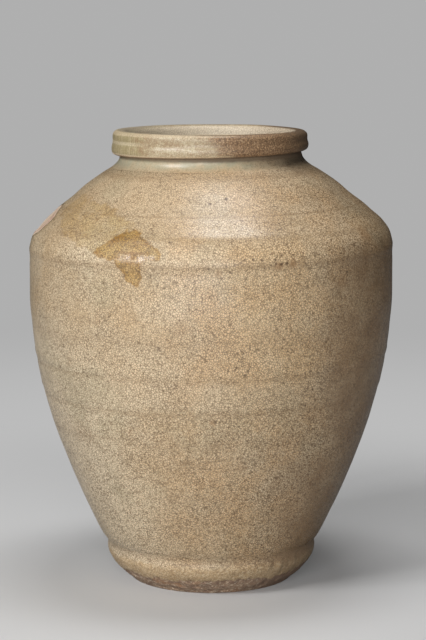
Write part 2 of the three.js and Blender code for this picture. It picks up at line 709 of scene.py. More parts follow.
class BaseDish(TurnedPiece):
    """The foot and the floor: a rough bevelled edge, a set-in band and a shallow hollow beneath."""

    waist = Ridge(19.3, 1.8, -0.45)
    roll = Ridge(15.2, 2.8, 0.2)
    grit_size = 2.3
    grit_rise = 0.34
    flake_size = 4.2
    flake_depth = 0.7
    edge_chip_size = 6.0
    edge_chip_depth = 0.8
    brushed_azimuth = 47.0
    brushed_reach = 14.0
    brushed_rise = 0.12
    faintly_brushed = 0.05
    trimming_turns = 1.9
    trimming_rise = 0.12
    pit_size = 2.1
    pit_depth = 0.35
    dents = (
        Press(-31.5, 1.3, 13.5, 2.4, -0.5),
        Press(-28.5, 1.5, 13.8, 2.6, 0.3),
        Press(13.0, 1.2, 11.8, 0.9, -0.5),
        Press(16.5, 1.2, 12.4, 0.8, -0.4),
        Press(33.0, 1.6, 15.6, 3.0, 0.35),
        Press(36.5, 1.8, 15.4, 3.2, -0.4),
        Press(40.5, 1.8, 14.6, 3.4, 0.35),
        Press(47.0, 2.4, 15.0, 3.6, -0.3),
    )

    def __init__(self, form: JarForm, marks: ThrowingMarks) -> None:
        """Keeps the line where the glaze ends.

        Args:
            form: The jar's sizes.
            marks: The unevenness of its wall.
        """
        super().__init__(form, marks, "base_dish_thrown", "base_dish", "bare_foot")
        self.turns = 432
        self.glaze_line = GlazeLine()

    def outline(self) -> Outline:
        """From the axis under the foot, round the foot, across the seam and back over the floor.

        Returns:
            The closed outline.
        """
        form = self.form
        seam = form.seam(form.base_seam)
        inner_ring = form.rest_radius - form.rest_ring_width
        floor_top = form.hollow_under_foot + form.floor_thickness
        under = smooth_outline(((0, form.hollow_under_foot), (18, 2.4), (31, 2.1), (inner_ring, 0)), 2.4)
        ring = smooth_outline(((inner_ring, 0), (form.rest_radius, 0)), 1.5)
        foot = smooth_outline(
            (
                (form.rest_radius, 0),
                (48.7, 4.2),
                (52.6, 8.6),
                form.bevel,
                (form.foot_radius, 18),
                seam.edge,
            ),
            0.8,
        )
        floor = smooth_outline((seam.low_lip, (44.5, 14.8), (36, floor_top + 0.6), (0, floor_top)), 2.4)
        return [*under, *ring[1:], *foot[1:], seam.root, *floor]

    def relief(self, azimuth: float, height: float, radius: float, place: Vector) -> Vector:
        """Adds the rough clay below the glaze, and the glaze's thickness above its edge.

        Args:
            azimuth: The place's azimuth in radians.
            height: The height in millimetres.
            radius: Its distance from the axis in millimetres.
            place: The place itself in millimetres.

        Returns:
            The move.
        """
        thrown = super().relief(azimuth, height, radius, place)
        if height > self.form.base_seam - 1e-3:
            return thrown
        outer = self.form.outside_radius(height)
        outside = smooth_step(radius, outer - 3.5, outer - 1.5)
        bare = 1 - self.cover(azimuth, height, radius, place)
        gritty = noise.fractal(place / self.grit_size, 1.0, 2.1, 4) * self.grit_rise
        flakes = noise.noise(place / self.flake_size + Vector((1, 5, 8)))
        flakes = smooth_step(flakes, 0.18, 0.42) * self.flake_depth
        fade = smooth_step(height, 0.0, 2.0)
        chips = smooth_step(noise.noise(place / self.edge_chip_size), 0.1, 0.45)
        chips *= smooth_step(height, 4.5, 0.5) * self.edge_chip_depth
        rough = (gritty - flakes - chips - self.glaze_line.thickness) * bare * fade * outside
        dented = sum(dent.at(math.degrees(azimuth), height) for dent in self.dents)
        rolled = self.roll.rise * bell(height, self.roll.height, self.roll.half_width)
        sunk = self.waist.rise * bell(height, self.waist.height, self.waist.half_width)
        shaped = (rolled + sunk) * smooth_step(height, self.form.base_seam, self.form.base_seam - 0.9)
        streaks = (self.streaks(azimuth, height) + dented + shaped) * outside
        return thrown + Vector((rough + streaks, self.under_marks(radius, height, place)))

    def cover(self, azimuth: float, height: float, radius: float, place: Vector) -> float:
        """How far the glaze covers a place: 1 above its edge, and 0 on bare clay.

        Args:
            azimuth: The place's azimuth in radians.
            height: The height in millimetres.
            radius: Its distance from the axis in millimetres.
            place: The place itself in millimetres.

        Returns:
            The part that is covered.
        """
        if radius < self.form.rest_radius + 0.2:
            return smooth_step(height, 7.0, 9.0)
        edge = self.glaze_line.height(azimuth, place)
        return smooth_step(height, edge - 0.5, edge + 0.5)

    def streaks(self, azimuth: float, height: float) -> float:
        """Upright brushed ridges low on the right of the foot, and faint ones all round it.

        Args:
            azimuth: The place's azimuth in radians.
            height: The height in millimetres.

        Returns:
            The distance outwards in millimetres.
        """
        turn = math.degrees(azimuth)
        strong = bell(turn, self.brushed_azimuth, self.brushed_reach) * self.brushed_rise
        strong += self.faintly_brushed
        band = smooth_step(height, 7.0, 10.0) * smooth_step(height, 21.0, 16.0)
        band *= smooth_step(abs(turn), 179.0, 170.0)
        wobble = noise.noise(Vector((turn / 3.1, height / 22, 4.0)))
        return strong * band * wobble * 2

    def under_marks(self, radius: float, height: float, place: Vector) -> float:
        """The trimming rings and grit under the foot, which never reach below the resting ring.

        Args:
            radius: Its distance from the axis in millimetres.
            height: The height in millimetres.
            place: The place itself in millimetres.

        Returns:
            The rise in millimetres.
        """
        if height > self.form.hollow_under_foot + 0.1:
            return 0.0
        rings = math.sin(radius * self.trimming_turns + noise.noise(place / 9) * 2)
        rings = (rings + 1) * self.trimming_rise
        rest = self.form.rest_radius
        hollow = smooth_step(radius, rest - self.form.rest_ring_width, 30.0)
        pits = smooth_step(noise.noise(place / self.pit_size + Vector((4, 4, 4))), 0.25, 0.55)
        return rings * hollow + pits * self.pit_depth * smooth_step(radius, rest + 0.3, rest - 1.5)

    def shape(self, turned: bmesh.types.BMesh) -> None:
        """Notes on every point how far glaze covers it, then shapes the piece.

        Args:
            turned: The piece's mesh, in millimetres.
        """
        layer = turned.verts.layers.float.new(GLAZE_COVER)
        for vert in turned.verts:
            place = vert.co.copy()
            azimuth = math.atan2(place.x, -place.y)
            vert[layer] = self.cover(azimuth, place.z, math.hypot(place.x, place.y), place)
        super().shape(turned)


class NeckCollar(TurnedPiece):
    """The short sunk neck, which runs up inside the lip."""

    def __init__(self, form: JarForm, marks: ThrowingMarks) -> None:
        """Names the piece after its node."""
        super().__init__(form, marks, "neck_collar_thrown", "neck_collar", "neck_glaze")

    def outline(self) -> Outline:
        """Up the sunk neck, up and over the lap, and down the inside to the seam.

        Returns:
            The closed outline.
        """
        form = self.form
        seam = form.seam(form.neck_seam)
        last = form.span_of(form.lap_bottom)
        inside = smooth_outline(
            (
                (form.mouth_radius, form.lap_top),
                (form.mouth_radius - 0.9, 229.0),
                (form.mouth_radius - 0.4, 223.6),
                seam.high_lip,
            ),
            1.2,
        )
        return [
            seam.edge,
            *form.path.walk(form.span_of(form.neck_seam), last, 0.7),
            (form.neck_radius, form.lap_bottom),
            (form.neck_radius, form.lap_top),
            *inside,
            seam.root,
        ]


class RimBand(TurnedPiece):
    """The thick rolled lip, lapped over the outside and the top of the collar."""

    groove = Ridge(234.4, 1.6, 0.26)
    faint_groove = 0.04

    def __init__(self, form: JarForm, marks: ThrowingMarks) -> None:
        """Names the piece after its node."""
        super().__init__(form, marks, "rim_band_rolled", "rim_band", "lip_glaze")

    def outline(self) -> Outline:
        """Round the roll of the lip, and back along the collar that it is lapped on.

        Returns:
            The closed outline.
        """
        form = self.form
        roll = smooth_outline(
            (
                (50.2, form.lap_bottom + 0.1),
                (51.3, form.lap_bottom + 0.7),
                (51.85, form.lap_bottom + 1.8),
                (form.lip_radius, form.lap_bottom + 3.1),
                (51.88, form.lap_bottom + 4.3),
                (51.6, form.lap_bottom + 5.5),
                (51.5, form.lap_bottom + 6.8),
                (51.5, form.height - 3.6),
                (51.4, form.height - 2.4),
                (51.0, form.height - 1.4),
                (50.2, form.height - 0.6),
                (49.1, form.height - 0.1),
                (47.6, form.height),
                (45.8, form.height - 0.1),
                (44.1, form.height - 0.9),
                (43.0, form.height - 2.6),
                (form.mouth_radius, form.lap_top),
            ),
            0.45,
        )
        return [(form.neck_radius, form.lap_bottom), *roll, (form.neck_radius, form.lap_top)]

    def relief(self, azimuth: float, height: float, radius: float, place: Vector) -> Vector:
        """The faint groove round the lip, its uneven roll and its slightly wavy crest.

        Args:
            azimuth: The place's azimuth in radians.
            height: The height in millimetres.
            radius: Its distance from the axis in millimetres.
            place: The place itself in millimetres.

        Returns:
            The move.
        """
        form = self.form
        held = radius < form.neck_radius + 0.2 and height < form.lap_top + 0.2
        if held:
            return Vector((0.0, 0.0))
        outside = smooth_step(radius, 48.5, 50.6)
        turn = math.degrees(azimuth)
        front = smooth_step(turn, 38.0, 0.0) * smooth_step(turn, -95.0, -55.0)
        deep = self.faint_groove + self.groove.rise * front
        groove = bell(height, self.groove.height, self.groove.half_width) * deep
        uneven = noise.noise(place / 17.0 + Vector((2, 8, 5))) * 0.32
        dents = noise.noise(place / 5.0) * 0.07
        crest = noise.noise(place / 30.0 + Vector((9, 1, 4))) * 0.28 - 0.26
        return Vector(((uneven - 0.12 + dents - groove) * outside, crest * smooth_step(height, 236, 240)))


class SeamCoil(TurnedPiece):
    """The coil of clay that was pressed into the groove inside a seam."""

    bulge = 2.0
    steps = 9
    press_pitch = 13.0
    press_depth = 0.8
    uneven_depth = 0.25

    def __init__(self, form: JarForm, marks: ThrowingMarks, node: str, height: float) -> None:
        """Keeps the height of the coil's seam.

        Args:
            form: The jar's sizes.
            marks: The unevenness of its wall.
            node: The frame's node that the coil replaces.
            height: The height at which the seam meets the outside.
        """
        super().__init__(form, marks, f"{node}_pressed", node, "coil_clay")
        self.joint = form.seam(height)

    def outline(self) -> Outline:
        """The two faces of the groove, and the coil's round back towards the hollow.

        Returns:
            The closed outline.
        """
        low, high = Vector(self.joint.low_lip), Vector(self.joint.high_lip)
        inward = Vector(self.joint.inward)
        back = []
        for step in range(1, self.steps):
            part = 1 - step / self.steps
            back.append(tuple(low.lerp(high, part) + inward * self.bulge * math.sin(math.pi * part)))
        return [self.joint.low_lip, self.joint.root, self.joint.high_lip, *back]

    def relief(self, azimuth: float, height: float, radius: float, place: Vector) -> Vector:
        """Follows the wall's inside, and dents the coil's back where a thumb pressed it.

        Args:
            azimuth: The place's azimuth in radians.
            height: The height in millimetres.
            radius: Its distance from the axis in millimetres.
            place: The place itself in millimetres.

        Returns:
            The move.
        """
        wall = super().relief(azimuth, height, radius, place)
        low, high = Vector(self.joint.low_lip), Vector(self.joint.high_lip)
        spot = Vector((radius, height))
        proud = (spot - (low + high) / 2).dot(Vector(self.joint.inward)) / self.bulge
        presses = round(self.joint.low_lip[0] / self.press_pitch * 2)
        press = 0.5 + 0.5 * math.sin(azimuth * presses)
        uneven = self.uneven_depth * noise.noise(place / 3.5)
        dent = max(proud, 0.0) * (self.press_depth * press + uneven)
        return wall + Vector((dent, 0.0))


class NodeBench:
    """Lays out the nodes of one material and wires them together."""

    def __init__(self, name: str) -> None:
        """Starts an empty material with the object's own coordinates in hand.

        Args:
            name: The material's name.
        """
        self.material = bpy.data.materials.new(name)
        self.material.use_nodes = True
        self.tree = self.material.node_tree
        self.tree.nodes.clear()
        self.place = self.add("ShaderNodeTexCoord").outputs["Object"]
        split = self.add("ShaderNodeSeparateXYZ")
        self.feed(split.inputs[0], self.place)
        self.x, self.y, self.z = split.outputs

    def add(self, kind: str, **settings: object) -> bpy.types.Node:
        """A new node with its settings.

        Args:
            kind: The node's type.
            settings: Its settings by name.

        Returns:
            The node.
        """
        node = self.tree.nodes.new(kind)
        for name, value in settings.items():
            setattr(node, name, value)
        return node

    def feed(self, socket: Socket, value: object) -> None:
        """Links an output to a socket, or sets the socket's own value.

        Args:
            socket: The input.
            value: An output, or a value for the input itself.
        """
        if isinstance(value, Socket):
            self.tree.links.new(value, socket)
        elif isinstance(value, tuple) and socket.type == "RGBA":
            socket.default_value = (*value[:3], 1.0)
        else:
            socket.default_value = value

    def math(self, operation: str, *values: object) -> Socket:
        """A sum on numbers.

        Args:
            operation: The name of the sum, as the Math node has it.
            values: Its numbers or outputs, in order.

        Returns:
            The result's output.
        """
        node = self.add("ShaderNodeMath", operation=operation)
        for socket, value in zip(node.inputs, values):
            self.feed(socket, value)
        return node.outputs[0]

    def times_plus(self, value: object, times: object, plus: object) -> Socket:
        """A value times a number, plus another."""
        return self.math("MULTIPLY_ADD", value, times, plus)

    def minus(self, value: object, less: object) -> Socket:
        """A value less another."""
        return self.math("SUBTRACT", value, less)

    def total(self, *values: object) -> Socket:
        """All the values added up.

        Args:
            values: Numbers or outputs.

        Returns:
            Their sum.
        """
        result = values[0]
        for value in values[1:]:
            result = self.math("ADD", result, value)
        return result

    def product(self, *values: object) -> Socket:
        """All the values multiplied.

        Args:
            values: Numbers or outputs.

        Returns:
            Their product.
        """
        result = values[0]
        for value in values[1:]:
            result = self.math("MULTIPLY", result, value)
        return result

    def largest(self, *values: object) -> Socket:
        """The largest of the values.

        Args:
            values: Numbers or outputs.

        Returns:
            The largest.
        """
        result = values[0]
        for value in values[1:]:
            result = self.math("MAXIMUM", result, value)
        return result

    def step(self, value: object, low: float, high: float) -> Socket:
        """Rises smoothly from 0 at low to 1 at high, or falls where high is the lower.

        Args:
            value: What is eased.
            low: Where it gives 0.
            high: Where it gives 1.

        Returns:
            The eased value.
        """
        node = self.add("ShaderNodeMapRange", interpolation_type="SMOOTHSTEP")
        rising = high > low
        ends = (low, high, 0.0, 1.0) if rising else (high, low, 1.0, 0.0)
        self.feed(node.inputs[0], value)
        for socket, end in zip(node.inputs[1:5], ends):
            self.feed(socket, end)
        return node.outputs[0]

    def band(self, value: object, start: float, full: float, until: float, end: float) -> Socket:
        """Rises from 0 at start to 1 at full, and falls again from until to end."""
        return self.product(self.step(value, start, full), self.step(value, end, until))

    def blend(self, part: object, under: object, over: object, way: str = "MIX") -> Socket:
        """A colour part of the way from one to the other.

        Args:
            part: How far, from 0 to 1.
            under: The first colour.
            over: The other one.
            way: How they mix, by the name of the blend.

        Returns:
            The colour.
        """
        node = self.add("ShaderNodeMix", data_type="RGBA", blend_type=way)
        for number, value in ((0, part), (6, under), (7, over)):
            self.feed(node.inputs[number], value)
        return node.outputs[2]

    def tint(self, part: object, under: object, tone: Colour) -> Socket:
        """A colour under a transparent film, which takes away a part of each of its channels."""
        return self.blend(part, under, tone, "MULTIPLY")

    def grain(self, size: float, detail: float = 3.0, shift: float = 0.0) -> Socket:
        """A cloudy pattern of numbers from 0 to 1.

        Args:
            size: The size of its largest clouds in millimetres.
            detail: How many finer layers it has.
            shift: A number that moves it to another part of the pattern.

        Returns:
            The pattern's output.
        """
        node = self.add("ShaderNodeTexNoise", noise_dimensions="4D")
        self.feed(node.inputs["Vector"], self.place)
        node.inputs["W"].default_value = shift
        node.inputs["Scale"].default_value = 1 / (size * MM)
        node.inputs["Detail"].default_value = detail
        return node.outputs[0]

    def wander(self, size: float, reach: float) -> Socket:
        """The object's coordinates, pushed about by a cloudy pattern.

        Args:
            size: The size of the pushes in millimetres.
            reach: How far they push, in millimetres.

        Returns:
            The moved coordinates.
        """
        cloud = self.add("ShaderNodeTexNoise", noise_dimensions="3D")
        self.feed(cloud.inputs["Vector"], self.place)
        cloud.inputs["Scale"].default_value = 1 / (size * MM)
        cloud.inputs["Detail"].default_value = 2.0
        push = self.add("ShaderNodeVectorMath", operation="MULTIPLY_ADD")
        self.feed(push.inputs[0], cloud.outputs[1])
        push.inputs[1].default_value = (reach * MM * 2,) * 3
        self.feed(push.inputs[2], self.place)
        return push.outputs[0]

    def cells(self, size: float, place: Socket, feature: str) -> bpy.types.Node:
        """A pattern of irregular cells.

        Args:
            size: The width of a cell in millimetres.
            place: The coordinates that it follows.
            feature: What it measures, as the Voronoi node has it.

        Returns:
            The node.
        """
        node = self.add("ShaderNodeTexVoronoi", feature=feature, voronoi_dimensions="3D")
        self.feed(node.inputs["Vector"], place)
        node.inputs["Scale"].default_value = 1 / (size * MM)
        return node

    def speckle(self, size: float) -> tuple[Socket, ...]:
        """Two unrelated random numbers from 0 to 1 for each grain, with the grain's size in millimetres.

        Args:
            size: The grains' size.

        Returns:
            The two numbers.
        """
        grains = self.add("ShaderNodeSeparateColor")
        self.feed(grains.inputs[0], self.cells(size, self.place, "F1").outputs["Color"])
        return grains.outputs[0], grains.outputs[1]

    def from_axis(self) -> Socket:
        """The distance from the jar's axis, in metres."""
        square = self.total(self.product(self.x, self.x), self.product(self.y, self.y))
        return self.math("SQRT", square)

    def azimuth(self) -> Socket:
        """The azimuth round the jar in degrees, 0 in front and growing towards +X."""
        away = self.product(self.y, -1.0)
        return self.product(self.math("ARCTAN2", self.x, away), math.degrees(1.0))

    def right_of(self, azimuth: object, low: float, high: float) -> Socket:
        """Rises from 0 to 1 between two azimuths, and falls back to 0 before the middle of the back."""
        return self.product(self.step(azimuth, low, high), self.step(azimuth, 158.0, 118.0))

    def left_of(self, azimuth: object, low: float, high: float) -> Socket:
        """Rises from 0 to 1 from one azimuth down to another, and falls back to 0 before the back."""
        return self.product(self.step(azimuth, low, high), self.step(azimuth, -158.0, -118.0))

    def height(self, lean: float) -> Socket:
        """The height in millimetres, with a lean in degrees taken out."""
        level = self.times_plus(self.x, -math.tan(math.radians(lean)), self.z)
        return self.product(level, 1 / MM)

    def distance(self, place: Socket, middle: Vector) -> Socket:
        """The distance from a point given in metres, in millimetres.

        Args:
            place: The place, in metres.
            middle: The point.

        Returns:
            The distance.
        """
        node = self.add("ShaderNodeVectorMath", operation="DISTANCE")
        self.feed(node.inputs[0], place)
        node.inputs[1].default_value = middle
        return self.product(node.outputs["Value"], 1 / MM)

    def bump(self, height: Socket, depth: float) -> Socket:
        """A surface that rises by a depth in millimetres where the height is 1.

        Args:
            height: The pattern of the relief.
            depth: Its depth.

        Returns:
            The normal.
        """
        node = self.add("ShaderNodeBump")
        node.inputs["Strength"].default_value = 1.0
        node.inputs["Distance"].default_value = depth * MM
        self.feed(node.inputs["Height"], height)
        return node.outputs[0]

    def finish(self, colour: object, roughness: object, normal: object) -> bpy.types.Material:
        """Closes the material with a glossy fired surface.

        Args:
            colour: Its colour.
            roughness: Its roughness.
            normal: Its bumps.

        Returns:
            The material.
        """
        shader = self.add("ShaderNodeBsdfPrincipled")
        shader.inputs["IOR"].default_value = FIRED_IOR
        self.feed(shader.inputs["Base Color"], colour)
        self.feed(shader.inputs["Roughness"], roughness)
        self.feed(shader.inputs["Normal"], normal)
        output = self.add("ShaderNodeOutputMaterial")
        self.feed(output.inputs["Surface"], shader.outputs[0])
        return self.material


@dataclass(frozen=True)
class Cloud:
    """A cloudy pattern that rises from 0 to 1 between two of its values."""

    size: float
    detail: float
    shift: float
    low: float
    high: float

    def on(self, bench: NodeBench) -> Socket:
        """How strongly the cloud covers a place, from 0 to 1."""
        return bench.step(bench.grain(self.size, self.detail, self.shift), self.low, self.high)


@dataclass(frozen=True)
class Stain:
    """A film left on the glaze: its corners clockwise, and how ragged its edges are."""

    corners: tuple[Knot, ...]
    ragged: float
    wall_radius: float = 95.0

    def depth(self, bench: NodeBench, azimuth: object, height: object) -> Socket:
        """How far inside the film's ragged edge a place lies.

        Args:
            bench: The bench of the material that carries it.
            azimuth: The azimuth in degrees.
            height: The height in millimetres.

        Returns:
            The distance in millimetres, below 0 outside the film.
        """
        mm_per_degree = math.radians(1) * self.wall_radius
        across = bench.product(azimuth, mm_per_degree)
        points = [(corner[0] * mm_per_degree, corner[1]) for corner in self.corners]
        inside = None
        for (x0, y0), (x1, y1) in zip(points, [*points[1:], points[0]]):
            length = math.hypot(x1 - x0, y1 - y0)
            a, b = (y1 - y0) / length, (x0 - x1) / length
            slant = bench.times_plus(across, a, -(a * x0 + b * y0))
            edge = bench.times_plus(height, b, slant)
            inside = edge if inside is None else bench.math("MINIMUM", inside, edge)
        cloud = bench.grain(3.2, 5.0, 3.3)
        waver = bench.times_plus(cloud, self.ragged * 2, -self.ragged)
        return bench.math("ADD", inside, waver)


@dataclass(frozen=True)
class Blemish:
    """A pinhole, a speck of iron or a smudge: where it is, how wide and how dark."""

    azimuth: float
    height: float
    radius: float
    strength: float


@dataclass(frozen=True)
class Scratch:
    """A short dark scratch: its middle, its size, how steeply it runs and how dark it is."""

    azimuth: float
    height: float
    half_length: float
    half_width: float
    rise: float
    strength: float
    wall_radius: float = 94.0

    def mark(self, bench: NodeBench, azimuth: object, height: object) -> Socket:
        """How strongly the scratch marks a place, from 0 to its strength.

        Args:
            bench: The material's bench.
            azimuth: The azimuth in degrees.
            height: The height in millimetres.

        Returns:
            The strength.
        """
        mm_per_degree = math.radians(1) * self.wall_radius
        slope = math.radians(self.rise)
        across = bench.product(bench.minus(azimuth, self.azimuth), mm_per_degree)
        up = bench.minus(height, self.height)
        along = bench.total(bench.product(across, math.cos(slope)), bench.product(up, math.sin(slope)))
        aside = bench.total(bench.product(up, math.cos(slope)), bench.product(across, -math.sin(slope)))
        far = bench.math("ABSOLUTE", bench.math("DIVIDE", along, self.half_length))
        wide = bench.math("ABSOLUTE", bench.math("DIVIDE", aside, self.half_width))
        return bench.product(bench.step(far, 1.0, 0.7), bench.step(wide, 1.0, 0.3), self.strength)


@dataclass(frozen=True)
class Crackle:
    """The nets of stained cracks in a glaze, with sizes in millimetres and widths in cells."""

    cell: float = 2.0
    line: float = 0.08
    part: float = 0.36
    fine_cell: float = 1.15
    fine_line: float = 0.16
    fine_part: float = 1.0
    long_cell: float = 11.0
    long_line: float = 0.022
    long_places: Cloud = Cloud(30.0, 1.0, 8.0, 0.36, 0.46)
    wander: float = 0.3

    def lines(self, bench: NodeBench) -> Socket:
        """The cracks, from 0 beside them to 1 on the most deeply stained.

        Args:
            bench: The material's bench.

        Returns:
            The pattern.
        """
        place = bench.wander(5.0, self.wander)
        net = bench.cells(self.cell, place, "DISTANCE_TO_EDGE").outputs["Distance"]
        fine = bench.cells(self.fine_cell, place, "DISTANCE_TO_EDGE").outputs["Distance"]
        stained = self.stained(bench, 8.0, 0.45, 5.1)
        wide = bench.product(bench.step(net, self.line, 0.0), stained, self.part)
        thin = bench.product(bench.step(fine, self.fine_line, 0.0), self.fine_part)
        return bench.largest(wide, thin)

    def long_lines(self, bench: NodeBench) -> Socket:
        """The sparse straight hairlines that run across the nets.

        Args:
            bench: The material's bench.

        Returns:
            The pattern.
        """
        net = bench.cells(self.long_cell, bench.wander(18.0, 0.15), "DISTANCE_TO_EDGE")
        lines = bench.step(net.outputs["Distance"], self.long_line, 0.0)
        return bench.product(lines, self.long_places.on(bench))

    @staticmethod
    def stained(bench: NodeBench, size: float, least: float, shift: float) -> Socket:
        """How deeply dirt has stained the cracks of a place, from least to 1."""
        cloud = bench.step(bench.grain(size, 2.0, shift), 0.32, 0.64)
        return bench.times_plus(cloud, 1 - least, least)


@dataclass(frozen=True)
class NeckPool:
    """The grey-green pool round the foot of the neck, and the smoky glaze and painted shadow of the lip
    that darken it on its right side.
    """

    green: Colour = (0.42, 0.405, 0.29)
    smoke_and_shadow: Colour = (0.055, 0.043, 0.029)
    patches: Cloud = Cloud(4.5, 3.0, 7.1, 0.3, 0.62)
    waver_size: float = 10.0
    waver: float = 30.0
    smoke_and_shadow_strength: float = 0.85

    def on(self, bench: NodeBench, azimuth: object, height: object, colour: object) -> Socket:
        """The glaze with the pool on it.

        Args:
            bench: The bench of the material that carries it.
            azimuth: The azimuth in degrees.
            height: The height in millimetres.
            colour: The glaze under it.

        Returns:
            The colour.
        """
        cloud = bench.grain(self.waver_size, 4.0, 2.9)
        turn = bench.times_plus(cloud, self.waver, bench.minus(azimuth, self.waver / 2))
        front = bench.minus(1.0, bench.right_of(turn, 20.0, 44.0))
        pool = bench.product(bench.band(height, 220.5, 224.0, 226.4, 227.8), front)
        pool = bench.product(pool, bench.times_plus(self.patches.on(bench), 0.45, 0.4))
        colour = bench.blend(pool, colour, self.green)
        # Painted shadow of the lip, with the smoky glaze, darkens the neck on its right side.
        smoke_and_lip_shadow = bench.product(bench.right_of(turn, 16.0, 60.0), bench.step(height, 216.0, 225.0))
        return bench.blend(bench.product(smoke_and_lip_shadow, self.smoke_and_shadow_strength), colour, self.smoke_and_shadow)


